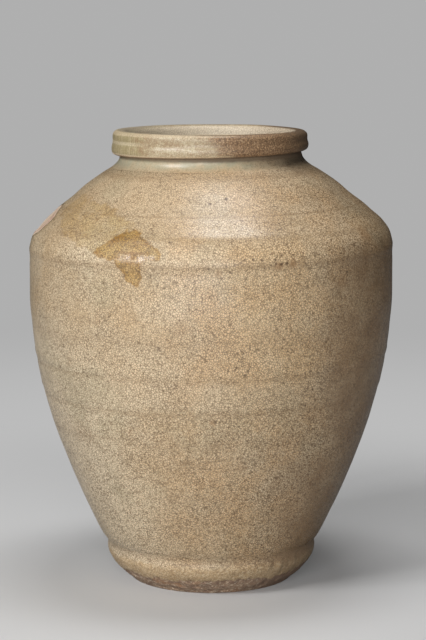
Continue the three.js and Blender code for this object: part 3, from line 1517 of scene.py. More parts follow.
@dataclass(frozen=True)
class GlazeFinish:
    """The thin grey-tan crackled glaze that covers the body and the shoulder."""

    form: JarForm
    name: str = "crackled_body_glaze"
    cream: Colour = (0.765, 0.625, 0.43)
    tan: Colour = (0.665, 0.50, 0.31)
    grey_green: Colour = (0.58, 0.51, 0.345)
    blush: Colour = (0.76, 0.49, 0.255)
    peach: Colour = (0.94, 0.68, 0.38)
    umber: Colour = (0.33, 0.215, 0.115)
    pale: Colour = (0.88, 0.76, 0.54)
    # Painted bounce light for the lower left of the body.
    bounce_lit_cream: Colour = (0.88, 0.74, 0.53)
    toast: Colour = (0.27, 0.15, 0.068)
    shoulder_tan: Colour = (0.42, 0.29, 0.16)
    crack: Colour = (0.15, 0.095, 0.05)
    film: Colour = (0.83, 0.71, 0.44)
    film_brown: Colour = (0.66, 0.50, 0.29)
    faint_film: Colour = (0.97, 0.92, 0.77)
    rust: Colour = (0.33, 0.185, 0.085)
    raw_clay: Colour = (0.38, 0.14, 0.09)
    pale_clay: Colour = (0.68, 0.56, 0.43)
    speck: Colour = (0.10, 0.06, 0.035)
    gloss: float = 0.27
    matte: float = 0.52
    film_gloss: float = 0.16
    film_soft: float = 1.1
    faint_soft: float = 1.6
    crackle: Crackle = Crackle()
    mottled: Cloud = Cloud(26.0, 4.0, 0.4, 0.34, 0.66)
    greened: Cloud = Cloud(34.0, 3.0, 9.4, 0.46, 0.68)
    smeared: Cloud = Cloud(15.0, 4.0, 4.6, 0.56, 0.78)
    warmed: Cloud = Cloud(18.0, 3.0, 11.1, 0.42, 0.62)
    finely_mottled: Cloud = Cloud(3.2, 3.0, 7.7, 0.3, 0.7)
    deeply_crazed: Cloud = Cloud(19.0, 2.0, 1.7, 0.3, 0.7)
    filmed_thickly: Cloud = Cloud(4.0, 3.0, 6.3, 0.3, 0.7)
    filmed_brown: Cloud = Cloud(5.0, 3.0, 2.1, 0.48, 0.66)
    pored: Cloud = Cloud(2.4, 2.0, 5.0, 0.38, 0.58)
    worn_through: Cloud = Cloud(7.0, 4.0, 1.9, 0.34, 0.6)
    faintly_brown: Cloud = Cloud(6.0, 4.0, 4.9, 0.52, 0.7)
    toasted_places: Cloud = Cloud(12.0, 4.0, 2.6, 0.3, 0.7)
    flake_grain: Cloud = Cloud(1.4, 3.0, 4.4, 0.3, 0.7)
    flake_dust: Cloud = Cloud(7.0, 4.0, 8.3, 0.42, 0.62)
    flake_red: Cloud = Cloud(9.0, 3.0, 5.7, 0.48, 0.60)
    ochre_films: tuple[Stain, ...] = (
        Stain(
            (
                (-38.0, 183.8),
                (-36.6, 187.2),
                (-28.8, 195.6),
                (-25.4, 195.9),
                (-14.4, 185.2),
                (-15.0, 181.4),
                (-33.0, 180.6),
            ),
            2.8,
        ),
        Stain(((-31.0, 182.6), (-20.8, 181.2), (-20.6, 170.4), (-22.4, 167.6), (-25.6, 171.0)), 2.8),
    )
    faint_films: tuple[Stain, ...] = (
        Stain(
            (
                (-74.0, 201.0),
                (-72.5, 209.2),
                (-40.8, 205.0),
                (-22.5, 195.2),
                (-31.0, 181.5),
                (-47.3, 187.2),
                (-60.9, 193.2),
            ),
            4.0,
        ),
    )
    blemishes: tuple[Blemish, ...] = (
        Blemish(6.7, 209.8, 1.4, 0.95),
        Blemish(0.1, 207.7, 1.3, 0.8),
        Blemish(-12.6, 191.0, 1.1, 0.95),
        Blemish(45.5, 172.1, 1.3, 0.6),
        Blemish(10.7, 125.0, 1.2, 0.8),
        Blemish(16.6, 159.7, 0.8, 0.7),
        Blemish(-6.6, 163.6, 0.8, 0.6),
        Blemish(-4.8, 115.0, 0.9, 0.7),
        Blemish(1.7, 100.8, 1.4, 0.8),
        Blemish(-17.8, 103.3, 1.0, 0.8),
        Blemish(-15.5, 138.2, 1.6, 0.6),
        Blemish(12.5, 77.5, 1.2, 0.8),
        Blemish(25.4, 68.2, 1.2, 0.9),
        Blemish(-10.4, 68.2, 0.9, 0.9),
        Blemish(34.0, 114.8, 1.0, 0.9),
        Blemish(32.1, 106.7, 0.9, 0.8),
        Blemish(32.0, 99.8, 0.9, 0.7),
        Blemish(65.8, 112.2, 0.9, 0.9),
        Blemish(10.1, 182.1, 1.1, 0.95),
        Blemish(9.0, 181.1, 0.9, 0.7),
        Blemish(12.8, 182.4, 1.1, 0.9),
        Blemish(15.3, 181.7, 1.0, 0.9),
        Blemish(19.6, 181.7, 1.1, 0.9),
        Blemish(7.2, 179.8, 0.8, 0.6),
        Blemish(4.8, 179.4, 0.8, 0.6),
        Blemish(-0.4, 178.1, 1.1, 0.8),
        Blemish(8.1, 183.9, 0.7, 0.5),
        Blemish(21.7, 183.3, 0.8, 0.6),
        Blemish(19.7, 179.6, 1.0, 0.7),
        Blemish(21.4, 179.4, 1.2, 0.9),
        Blemish(23.2, 179.5, 1.2, 0.9),
        Blemish(18.2, 179.2, 0.8, 0.6),
        Blemish(29.2, 181.7, 0.8, 0.6),
        Blemish(-23.2, 184.6, 1.2, 0.6),
    )
    scratches: tuple[Scratch, ...] = (
        Scratch(9.3, 136.2, 1.6, 0.5, -46.0, 0.7),
        Scratch(11.65, 138.2, 1.8, 0.45, 90.0, 0.6),
        Scratch(7.5, 127.6, 1.7, 0.5, 60.0, 0.7),
        Scratch(11.6, 127.3, 2.1, 0.45, 66.0, 0.7),
        Scratch(-15.6, 137.8, 1.7, 0.6, -52.0, 0.6),
    )
    smudges: tuple[Blemish, ...] = (
        Blemish(59.2, 189.6, 7.0, 0.45),
        Blemish(-35.7, 151.5, 4.5, 0.35),
        Blemish(-27.6, 94.1, 4.0, 0.35),
        Blemish(1.7, 100.8, 3.2, 0.7),
        Blemish(3.2, 176.9, 3.2, 0.4),
        Blemish(26.0, 180.2, 3.6, 0.45),
        Blemish(21.4, 179.6, 3.2, 0.5),
        Blemish(-35.4, 183.8, 2.0, 0.5),
        Blemish(44.0, 168.0, 6.0, 0.3),
        Blemish(-8.0, 150.0, 7.0, 0.25),
        Blemish(12.0, 76.0, 5.0, 0.3),
    )

    def material(self) -> bpy.types.Material:
        """Builds the glaze.

        Returns:
            The material.
        """
        bench = NodeBench(self.name)
        azimuth, height = bench.azimuth(), bench.height(BODY_LEAN)
        lines = self.crackle.lines(bench)
        colour = self.ground(bench, azimuth, height)
        colour = self.toasted(bench, azimuth, height, colour)
        faint = bench.largest(*(film.depth(bench, azimuth, height) for film in self.faint_films))
        colour = self.faintly_filmed(bench, faint, colour)
        depth = bench.largest(*(film.depth(bench, azimuth, height) for film in self.ochre_films))
        ochre = bench.step(depth, 0.0, self.film_soft)
        colour = self.filmed(bench, depth, ochre, colour)
        colour = self.ridge_streak(bench, azimuth, height, colour)
        colour = NeckPool().on(bench, azimuth, height, colour)
        colour = self.crazed(bench, lines, colour)
        colour = bench.blend(self.spots(bench, self.smudges, 3.0, 1.6), colour, self.rust)
        marks = self.marks(bench)
        colour = bench.blend(marks, colour, self.speck)
        reach = self.chip_reach(bench, azimuth, height)
        colour = self.chipped(bench, azimuth, reach, colour)
        rough = self.roughness(bench, lines)
        slick = self.slick(bench, azimuth, height, ochre)
        rough = bench.times_plus(slick, self.film_gloss - self.matte, rough)
        dull = self.dull(bench, azimuth, height)
        rough = bench.times_plus(dull, self.matte - self.gloss, rough)
        rough = bench.times_plus(bench.step(height, 201.0, 206.0), 0.05, rough)
        rough = bench.times_plus(bench.step(reach, 1.02, 0.94), 0.5, rough)
        swell = bench.product(bench.speckle(0.7)[0], 0.3)
        relief = bench.minus(swell, bench.product(lines, 0.3))
        relief = bench.minus(relief, bench.product(marks, 1.5))
        return bench.finish(colour, rough, bench.bump(relief, 0.05))

    @staticmethod
    def slick(bench: NodeBench, azimuth: object, height: object, ochre: object) -> Socket:
        """Where the film still shines: two smooth places on the ridge of the shoulder.

        Args:
            bench: The material's bench.
            azimuth: The azimuth in degrees.
            height: The height in millimetres.
            ochre: How thick the film is, from 0 to 1.

        Returns:
            The mask.
        """
        ragged = bench.times_plus(bench.grain(1.6, 3.0, 3.6), 1.6, -0.8)
        turn, level = bench.math("ADD", azimuth, ragged), bench.math("ADD", height, ragged)
        left = bench.product(bench.band(turn, -29.8, -28.0, -25.4, -23.6), 0.85)
        right = bench.band(turn, -23.2, -21.6, -17.6, -15.8)
        flat = bench.band(level, 178.6, 179.4, 183.6, 184.6)
        return bench.product(bench.total(left, right), flat, ochre)

    @staticmethod
    def dull(bench: NodeBench, azimuth: object, height: object) -> Socket:
        """The worn ring on the ridge of the shoulder, which the film covers in part."""
        ends = bench.band(azimuth, -52.0, -40.0, -6.0, 8.0)
        return bench.product(ends, bench.step(height, 174.5, 177.5), bench.step(height, 191.0, 187.5))

    def roughness(self, bench: NodeBench, lines: object) -> Socket:
        """The glaze's roughness, a little cloudy and duller in the cracks."""
        cloudy = bench.times_plus(bench.grain(7.0, 3.0, 2.2), 0.2, self.gloss - 0.1)
        return bench.times_plus(lines, 0.12, cloudy)

    def crazed(self, bench: NodeBench, lines: object, colour: object) -> Socket:
        """A colour with the nets of cracks on it, more deeply stained in some places.

        Args:
            bench: The material's bench.
            lines: The cracks' pattern.
            colour: The colour under it.

        Returns:
            The colour.
        """
        stained = self.deeply_crazed.on(bench)
        darkness = bench.times_plus(stained, 0.2, 0.72)
        colour = bench.blend(bench.product(lines, darkness), colour, self.crack)
        return bench.blend(bench.product(self.crackle.long_lines(bench), 0.35), colour, self.crack)

    def ground(self, bench: NodeBench, azimuth: object, height: object) -> Socket:
        """The glaze's colour: mottled tan and cream, with grey-green areas and brown smears, and painted
        bounce light low on the left.

        Args:
            bench: The material's bench.
            azimuth: The azimuth in degrees.
            height: The height in millimetres.

        Returns:
            The colour.
        """
        clouds = self.mottled.on(bench)
        green = self.greened.on(bench)
        smear = self.smeared.on(bench)
        warm = bench.times_plus(self.warmed.on(bench), 0.36, 0.24)
        warm = bench.product(warm, bench.right_of(azimuth, -50.0, 10.0))
        sunny = bench.band(azimuth, 0.0, 13.0, 27.0, 40.0)
        sunny = bench.product(sunny, bench.step(height, 80.0, 125.0), bench.step(height, 196.0, 182.0), 0.3)
        # Painted bounce light: the body low on the left is painted paler, as if lit from the floor.
        bounce_lit_low_left = bench.product(bench.left_of(azimuth, -8.0, -46.0), bench.step(height, 160.0, 108.0))
        colour = bench.blend(clouds, self.tan, self.cream)
        colour = bench.blend(bench.product(bounce_lit_low_left, 0.9), colour, self.bounce_lit_cream)
        colour = bench.blend(bench.product(green, 0.7), colour, self.grey_green)
        colour = bench.blend(warm, colour, self.blush)
        colour = bench.blend(sunny, colour, self.peach)
        colour = bench.blend(bench.product(smear, 0.4), colour, self.umber)
        mottle = self.finely_mottled.on(bench)
        colour = bench.blend(bench.product(mottle, 0.06), colour, self.umber)
        shade, hue = bench.speckle(0.62)
        low = bench.product(bench.step(height, 150.0, 70.0), 0.35)
        right = bench.right_of(azimuth, 5.0, 45.0)
        strong = bench.math("ADD", low, bench.times_plus(right, 0.35, 0.75))
        colour = bench.blend(bench.product(bench.step(shade, 0.45, 0.0), strong, 0.66), colour, self.crack)
        colour = bench.blend(bench.product(bench.step(shade, 0.5, 1.0), strong, 0.3), colour, self.pale)
        colour = bench.blend(bench.product(hue, 0.12), colour, self.blush)
        return self.rings(bench, height, colour)

    def filmed(self, bench: NodeBench, depth: object, ochre: object, colour: object) -> Socket:
        """The ochre film, a little browner along its edge and speckled with settled dirt.

        Args:
            bench: The material's bench.
            depth: How far inside the film's edge a place lies.
            ochre: How thick the film is, from 0 to 1.
            colour: The colour under it.

        Returns:
            The colour.
        """
        cloudy = bench.times_plus(self.filmed_thickly.on(bench), 0.3, 0.8)
        colour = bench.tint(bench.product(ochre, cloudy), colour, self.film)
        brown = self.filmed_brown.on(bench)
        colour = bench.tint(bench.product(ochre, brown, 0.6), colour, self.film_brown)
        edge = bench.band(depth, -0.2, 0.4, 0.9, 2.6)
        colour = bench.tint(bench.product(edge, 0.4), colour, self.film_brown)
        return bench.blend(bench.product(ochre, self.settled(bench), 0.7), colour, self.crack)

    def settled(self, bench: NodeBench) -> Socket:
        """Dirt that settled in the film's pores, as dots of uneven depth."""
        dots = bench.step(bench.cells(1.4, bench.place, "F1").outputs["Distance"], 0.42, 0.2)
        return bench.product(dots, self.pored.on(bench))

    def faintly_filmed(self, bench: NodeBench, depth: object, colour: object) -> Socket:
        """The thin end of the film, worn through in places and full of dark dots.

        Args:
            bench: The material's bench.
            depth: How far inside the film's edge a place lies.
            colour: The colour under it.

        Returns:
            The colour.
        """
        faint = bench.step(depth, 0.0, self.faint_soft)
        worn = bench.times_plus(self.worn_through.on(bench), 0.55, 0.45)
        colour = bench.tint(bench.product(faint, worn), colour, self.faint_film)
        brown = self.faintly_brown.on(bench)
        colour = bench.tint(bench.product(faint, brown, 0.32), colour, self.film_brown)
        edge = bench.band(depth, -0.2, 0.4, 0.7, 2.0)
        colour = bench.tint(bench.product(edge, 0.2), colour, self.film_brown)
        return bench.blend(bench.product(faint, self.settled(bench), 0.55), colour, self.crack)

    def ridge_streak(self, bench: NodeBench, azimuth: object, height: object, colour: object) -> Socket:
        """A ragged rusty streak in the film, where it crosses the ridge of the shoulder.

        Args:
            bench: The material's bench.
            azimuth: The azimuth in degrees.
            height: The height in millimetres.
            colour: The colour under it.

        Returns:
            The colour.
        """
        level = bench.times_plus(bench.grain(3.0, 4.0, 8.8), 2.4, height)
        line = bench.band(level, 185.0, 185.7, 186.2, 186.9)
        ends = bench.band(azimuth, -31.0, -27.0, -21.5, -18.5)
        return bench.blend(bench.product(line, ends, 0.6), colour, self.rust)

    def toasted(self, bench: NodeBench, azimuth: object, height: object, colour: object) -> Socket:
        """The side that the flame browned, most on the shoulder and least near the foot.

        Args:
            bench: The material's bench.
            azimuth: The azimuth in degrees.
            height: The height in millimetres.
            colour: The colour under it.

        Returns:
            The colour.
        """
        turn = bench.times_plus(bench.grain(30.0, 3.0, 5.9), 40.0, azimuth)
        later = bench.times_plus(bench.step(height, 105.0, 165.0), -5.0, turn)
        side = bench.product(bench.step(later, 42.0, 76.0), bench.step(turn, 165.0, 120.0))
        rise = bench.times_plus(bench.step(height, 176.0, 192.0), -0.56, 0.61)
        patchy = bench.times_plus(self.toasted_places.on(bench), 0.5, 0.75)
        colour = bench.blend(bench.product(side, rise, patchy), colour, self.toast)
        over = bench.product(bench.left_of(azimuth, 46.0, 22.0), bench.step(height, 184.0, 192.0))
        return bench.blend(bench.product(over, 0.26), colour, self.shoulder_tan)

    def rings(self, bench: NodeBench, height: object, colour: object) -> Socket:
        """The throwing rings, where the glaze is thinner on a ridge and thicker beside it, and painted
        shade in the hollows beside the ridges.

        Args:
            bench: The material's bench.
            height: The height in millimetres.
            colour: The colour under it.

        Returns:
            The colour.
        """
        bands = (
            (220.4, 218.4, 215.6, 0.30),
            (193.6, 191.6, 188.6, 0.16),
            (181.0, 178.2, 175.0, 0.28),
            (201.8, 201.2, 200.6, 0.40),
            (146.0, 140.0, 132.0, 0.14),
            (122.8, 121.0, 118.0, 0.20),
            (105.4, 103.8, 101.0, 0.22),
            (92.0, 88.0, 82.0, 0.12),
        )
        # The umber bands: partly glaze pooled in the hollows, partly painted shade in them.
        for top, middle, bottom, strength in bands:
            above = bench.step(height, top, middle)
            below = bench.step(height, bottom, middle)
            ring = bench.product(above, below, strength)
            ring = bench.product(ring, bench.times_plus(bench.grain(30.0, 2.0, top), 1.8, 0.2))
            colour = bench.blend(ring, colour, self.umber)
        pale = bench.band(height, 104.0, 108.0, 116.0, 122.0)
        return bench.blend(bench.product(pale, 0.22), colour, self.cream)

    def marks(self, bench: NodeBench) -> Socket:
        """The pinholes and specks: the placed ones, and tiny ones strewn all over.

        Args:
            bench: The material's bench.

        Returns:
            The pattern.
        """
        seeds = bench.cells(7.5, bench.place, "F1")
        dot = bench.step(seeds.outputs["Distance"], 0.06, 0.025)
        azimuth, height = bench.azimuth(), bench.height(BODY_LEAN)
        scratched = (scratch.mark(bench, azimuth, height) for scratch in self.scratches)
        spots = self.spots(bench, self.blemishes, 1.4, 0.5)
        return bench.largest(spots, bench.product(dot, 0.8), *scratched)

    def spots(self, bench: NodeBench, blemishes: tuple[Blemish, ...], size: float, reach: float) -> Socket:
        """The placed blemishes, each fading out at its radius.

        Args:
            bench: The bench of the material that carries them.
            blemishes: Where they are.
            size: The size of the ragged turns of their edges in millimetres.
            reach: How far these turns push the edges, in millimetres.

        Returns:
            How strongly a blemish covers a place, from 0 to 1.
        """
        moved = bench.wander(size, reach)
        faded = []
        for blemish in blemishes:
            away = bench.distance(moved, self.form.place(blemish.azimuth, blemish.height))
            fade = bench.step(away, blemish.radius, blemish.radius * 0.25)
            faded.append(bench.product(fade, blemish.strength))
        return bench.largest(*faded)

    @staticmethod
    def chip_reach(bench: NodeBench, azimuth: object, height: object) -> Socket:
        """How far out in the flake lost from the shoulder a place lies: 0 in its middle, 1 at its edge.

        Args:
            bench: The material's bench.
            azimuth: The azimuth in degrees.
            height: The height in millimetres.

        Returns:
            The distance as a part of the way.
        """
        chip = SHOULDER_CHIP
        mm_per_degree = math.radians(1) * chip.wall_radius
        tilt = math.radians(chip.tilt)
        across = bench.product(bench.minus(azimuth, chip.azimuth), mm_per_degree)
        up = bench.minus(height, chip.height)
        along = bench.total(
            bench.product(across, math.cos(tilt) / chip.half_length),
            bench.product(up, math.sin(tilt) / chip.half_length),
        )
        aside = bench.total(
            bench.product(up, math.cos(tilt) / chip.half_width),
            bench.product(across, -math.sin(tilt) / chip.half_width),
        )
        reach = bench.math("SQRT", bench.total(bench.product(along, along), bench.product(aside, aside)))
        theta = bench.math("ARCTAN2", aside, along)
        back = bench.times_plus(bench.math("COSINE", theta), -0.5, 0.5)
        waves = []
        for count, size, start in chip.wander:
            turned = bench.times_plus(theta, count, start)
            waves.append(bench.product(bench.math("SINE", turned), size))
        uneven = bench.math("ADD", bench.product(bench.total(*waves), back), 1.0)
        fringe = bench.times_plus(bench.grain(2.6, 4.0, 1.2), 0.24, -0.12)
        return bench.math("ADD", bench.product(reach, uneven), fringe)

    def chipped(self, bench: NodeBench, azimuth: object, reach: object, colour: object) -> Socket:
        """The bare clay of the flake: pale, reddish in places and darkly lined round its edge.

        Args:
            bench: The material's bench.
            azimuth: The azimuth in degrees.
            reach: How far out in the flake a place lies.
            colour: The colour under it.

        Returns:
            The colour.
        """
        grain = self.flake_grain.on(bench)
        clay = bench.blend(bench.product(grain, 0.35), self.pale_clay, self.raw_clay)
        front = bench.step(azimuth, -84.0, -79.0)
        behind = bench.minus(1.0, front)
        dusty = bench.product(self.flake_dust.on(bench), behind, 0.55)
        clay = bench.blend(dusty, clay, self.umber)
        colour = bench.blend(bench.step(reach, 1.0, 0.94), colour, clay)
        band = bench.band(reach, 0.86, 0.78, 0.70, 0.62)
        patchy = bench.product(self.flake_red.on(bench), behind, 0.5)
        band = bench.product(band, bench.largest(front, patchy))
        colour = bench.blend(bench.product(band, 0.85), colour, self.raw_clay)
        line = bench.band(reach, 1.12, 1.05, 1.0, 0.95)
        return bench.blend(bench.product(line, 0.6), colour, self.crack)


@dataclass(frozen=True)
class NeckFinish:
    """The neck: the body's glaze, which pooled under the lip, and dirt and painted shade close below the
    lip.
    """

    form: JarForm
    name: str = "pooled_neck_glaze"
    umber: Colour = (0.15, 0.105, 0.065)
    inside: Colour = (0.60, 0.50, 0.35)
    crack: Colour = (0.17, 0.11, 0.06)
    mouth: tuple[float, float] = (0.0455, 0.0440)

    def material(self) -> bpy.types.Material:
        """Builds the glaze of the neck.

        Returns:
            The material.
        """
        bench = NodeBench(self.name)
        azimuth, height = bench.azimuth(), bench.height(BODY_LEAN)
        body = GlazeFinish(self.form)
        lines = Crackle(fine_part=0.35).lines(bench)
        colour = body.toasted(bench, azimuth, height, body.ground(bench, azimuth, height))
        colour = NeckPool().on(bench, azimuth, height, colour)
        # Dirt and painted shade close below the lip, stronger towards the right.
        level = bench.times_plus(bench.grain(4.0, 3.0, 1.9), 1.6, height)
        most = bench.times_plus(bench.right_of(azimuth, -50.0, 10.0), 0.4, 0.45)
        dirt = bench.product(bench.step(level, 225.8, 227.4), most)
        colour = bench.blend(dirt, colour, self.umber)
        within = bench.step(bench.from_axis(), *self.mouth)
        colour = bench.blend(bench.product(within, 0.85), colour, self.inside)
        colour = bench.blend(bench.product(lines, 0.45), colour, self.crack)
        rough = bench.times_plus(bench.grain(9.0, 3.0, 2.2), 0.15, 0.22)
        rough = bench.times_plus(dirt, 0.55, rough)
        relief = bench.minus(bench.grain(1.6, 2.0, 6.1), bench.product(lines, 0.5))
        return bench.finish(colour, rough, bench.bump(relief, 0.04))


@dataclass(frozen=True)
class LipFinish:
    """The lip: olive glaze on the left, beige in front, and scorched brown on the right, with painted shade
    at the far right.
    """

    name: str = "toasted_lip_glaze"
    beige: Colour = (0.555, 0.475, 0.32)
    tan: Colour = (0.43, 0.33, 0.205)
    olive: Colour = (0.37, 0.305, 0.155)
    straw: Colour = (0.66, 0.565, 0.375)
    toast: Colour = (0.33, 0.19, 0.095)
    ember: Colour = (0.12, 0.063, 0.03)
    light_grain: Colour = (0.58, 0.41, 0.24)
    # Scorched glaze deepened with painted shade, for the far right.
    scorched: Colour = (0.08, 0.052, 0.03)
    pale_bead_and_highlight: Colour = (0.70, 0.57, 0.39)
    underside: Colour = (0.21, 0.11, 0.06)
    dusty: Colour = (0.45, 0.38, 0.29)
    inside: Colour = (0.70, 0.60, 0.45)
    crack: Colour = (0.17, 0.10, 0.055)
    beige_places: Cloud = Cloud(5.0, 4.0, 3.7, 0.35, 0.62)
    smudged: Cloud = Cloud(2.5, 3.0, 6.0, 0.4, 0.6)
    slant: float = 1.1
    slant_height: float = 234.0
    mouth: tuple[float, float] = (0.0452, 0.0436)
    dusty_crest: tuple[float, float] = (0.0494, 0.0484)
    rubbed_and_lit_crest: tuple[float, float] = (0.0488, 0.0498)

    def material(self) -> bpy.types.Material:
        """Builds the glaze of the lip.

        Returns:
            The material.
        """
        bench = NodeBench(self.name)
        azimuth, height = bench.azimuth(), bench.height(LIP_LEAN)
        lines = Crackle(cell=1.9).lines(bench)
        cloud = bench.grain(9.0, 4.0, 1.3)
        turn = bench.math("ADD", azimuth, bench.times_plus(cloud, 30.0, -15.0))
        middle = bench.minus(turn, self.slant * self.slant_height)
        slant = bench.times_plus(height, self.slant, middle)
        right = bench.product(bench.step(slant, -9.0, 12.0), bench.step(turn, 160.0, 130.0))
        colour = self.glazed(bench, azimuth, height, turn)
        colour = bench.blend(bench.product(right, 0.92), colour, self.scorched_and_shaded_brown(bench, turn))
        dull = bench.step(bench.from_axis(), *self.dusty_crest)
        dull = bench.product(bench.step(height, 238.9, 239.5), dull)
        colour = bench.blend(bench.product(dull, bench.left_of(turn, 10.0, -30.0), 0.7), colour, self.dusty)
        within = bench.step(bench.from_axis(), *self.mouth)
        colour = bench.blend(bench.product(within, 0.8), colour, self.inside)
        # A pale glaze bead along the lower edge and a rubbed outer crest, both partly painted highlight, on
        # the lit left and front only.
        worn = bench.step(bench.from_axis(), *self.rubbed_and_lit_crest)
        worn = bench.product(bench.step(height, 238.4, 238.9), worn)
        edge = bench.largest(bench.step(height, 229.6, 228.9), bench.product(worn, 0.7))
        edge = bench.product(edge, bench.left_of(turn, 22.0, 6.0), 0.75)
        colour = bench.blend(edge, colour, self.pale_bead_and_highlight)
        # A dark line under the lip: pooled brown glaze, deepened with painted shade.
        colour = bench.blend(bench.product(bench.step(height, 228.5, 228.2), 0.85), colour, self.underside)
        darkness = bench.times_plus(right, 0.2, 0.42)
        colour = bench.blend(bench.product(lines, darkness), colour, self.crack)
        lowered = bench.minus(height, 0.8)
        ragged = bench.times_plus(bench.grain(2.0, 3.0, 7.4), 1.6, lowered)
        glossy = bench.band(ragged, 229.8, 230.8, 234.4, 235.6)
        glossy = bench.product(glossy, bench.step(turn, 4.0, -8.0), bench.step(turn, -44.0, -34.0))
        rough = bench.times_plus(cloud, 0.1, bench.times_plus(glossy, -0.20, 0.42))
        relief = bench.minus(bench.speckle(0.8)[0], bench.product(lines, 0.6))
        return bench.finish(colour, rough, bench.bump(relief, 0.05))

    def glazed(self, bench: NodeBench, azimuth: object, height: object, turn: object) -> Socket:
        """Beige glaze in front, and olive glaze on the left with pale runs and a pale ring of painted
        highlight.

        Args:
            bench: The material's bench.
            azimuth: The azimuth in degrees.
            height: The height in millimetres.
            turn: The azimuth with a ragged edge, in degrees.

        Returns:
            The colour.
        """
        shade = bench.speckle(0.6)[0]
        colour = bench.blend(self.beige_places.on(bench), self.tan, self.beige)
        colour = bench.blend(bench.product(bench.step(shade, 0.5, 0.0), 0.5), colour, self.toast)
        colour = bench.blend(bench.product(bench.step(shade, 0.5, 1.0), 0.5), colour, self.straw)
        streaks = self.streaks(bench, azimuth)
        olive = bench.blend(bench.product(streaks, 0.5), self.olive, self.straw)
        # Painted highlight: a pale ring on the left of the lip, where the lamps' highlight runs on round
        # the roll.
        ring = bench.band(height, 236.0, 235.2, 234.3, 233.4)
        olive = bench.blend(bench.product(ring, 0.85), olive, self.straw)
        colour = bench.blend(bench.left_of(turn, -32.0, -56.0), colour, olive)
        smudge = bench.band(turn, -36.0, -42.0, -46.0, -54.0)
        smudge = bench.product(smudge, self.smudged.on(bench), 0.5)
        return bench.blend(smudge, colour, self.toast)

    def scorched_and_shaded_brown(self, bench: NodeBench, turn: object) -> Socket:
        """Brown glaze with dark pits and light grains, darkened nearly to black at the far right with
        painted shade.

        Args:
            bench: The material's bench.
            turn: The azimuth with a ragged edge, in degrees.

        Returns:
            The colour.
        """
        pits = bench.grain(0.8, 2.0, 4.2)
        colour = bench.blend(bench.step(pits, 0.47, 0.60), self.toast, self.ember)
        colour = bench.blend(bench.product(bench.step(pits, 0.47, 0.36), 0.7), colour, self.light_grain)
        # Painted shade on the scorched glaze darkens the far right nearly to black.
        burnt = bench.right_of(turn, 40.0, 76.0)
        return bench.blend(bench.product(burnt, 0.82), colour, self.scorched)

    @staticmethod
    def streaks(bench: NodeBench, azimuth: object) -> Socket:
        """Upright streaks where the glaze ran down over the lip.

        Args:
            bench: The material's bench.
            azimuth: The azimuth in degrees.

        Returns:
            The pattern.
        """
        wave = bench.add("ShaderNodeTexNoise", noise_dimensions="1D")
        bench.feed(wave.inputs["W"], bench.product(azimuth, 0.7))
        wave.inputs["Scale"].default_value = 1.0
        wave.inputs["Detail"].default_value = 2.0
        return bench.step(wave.outputs[0], 0.4, 0.65)


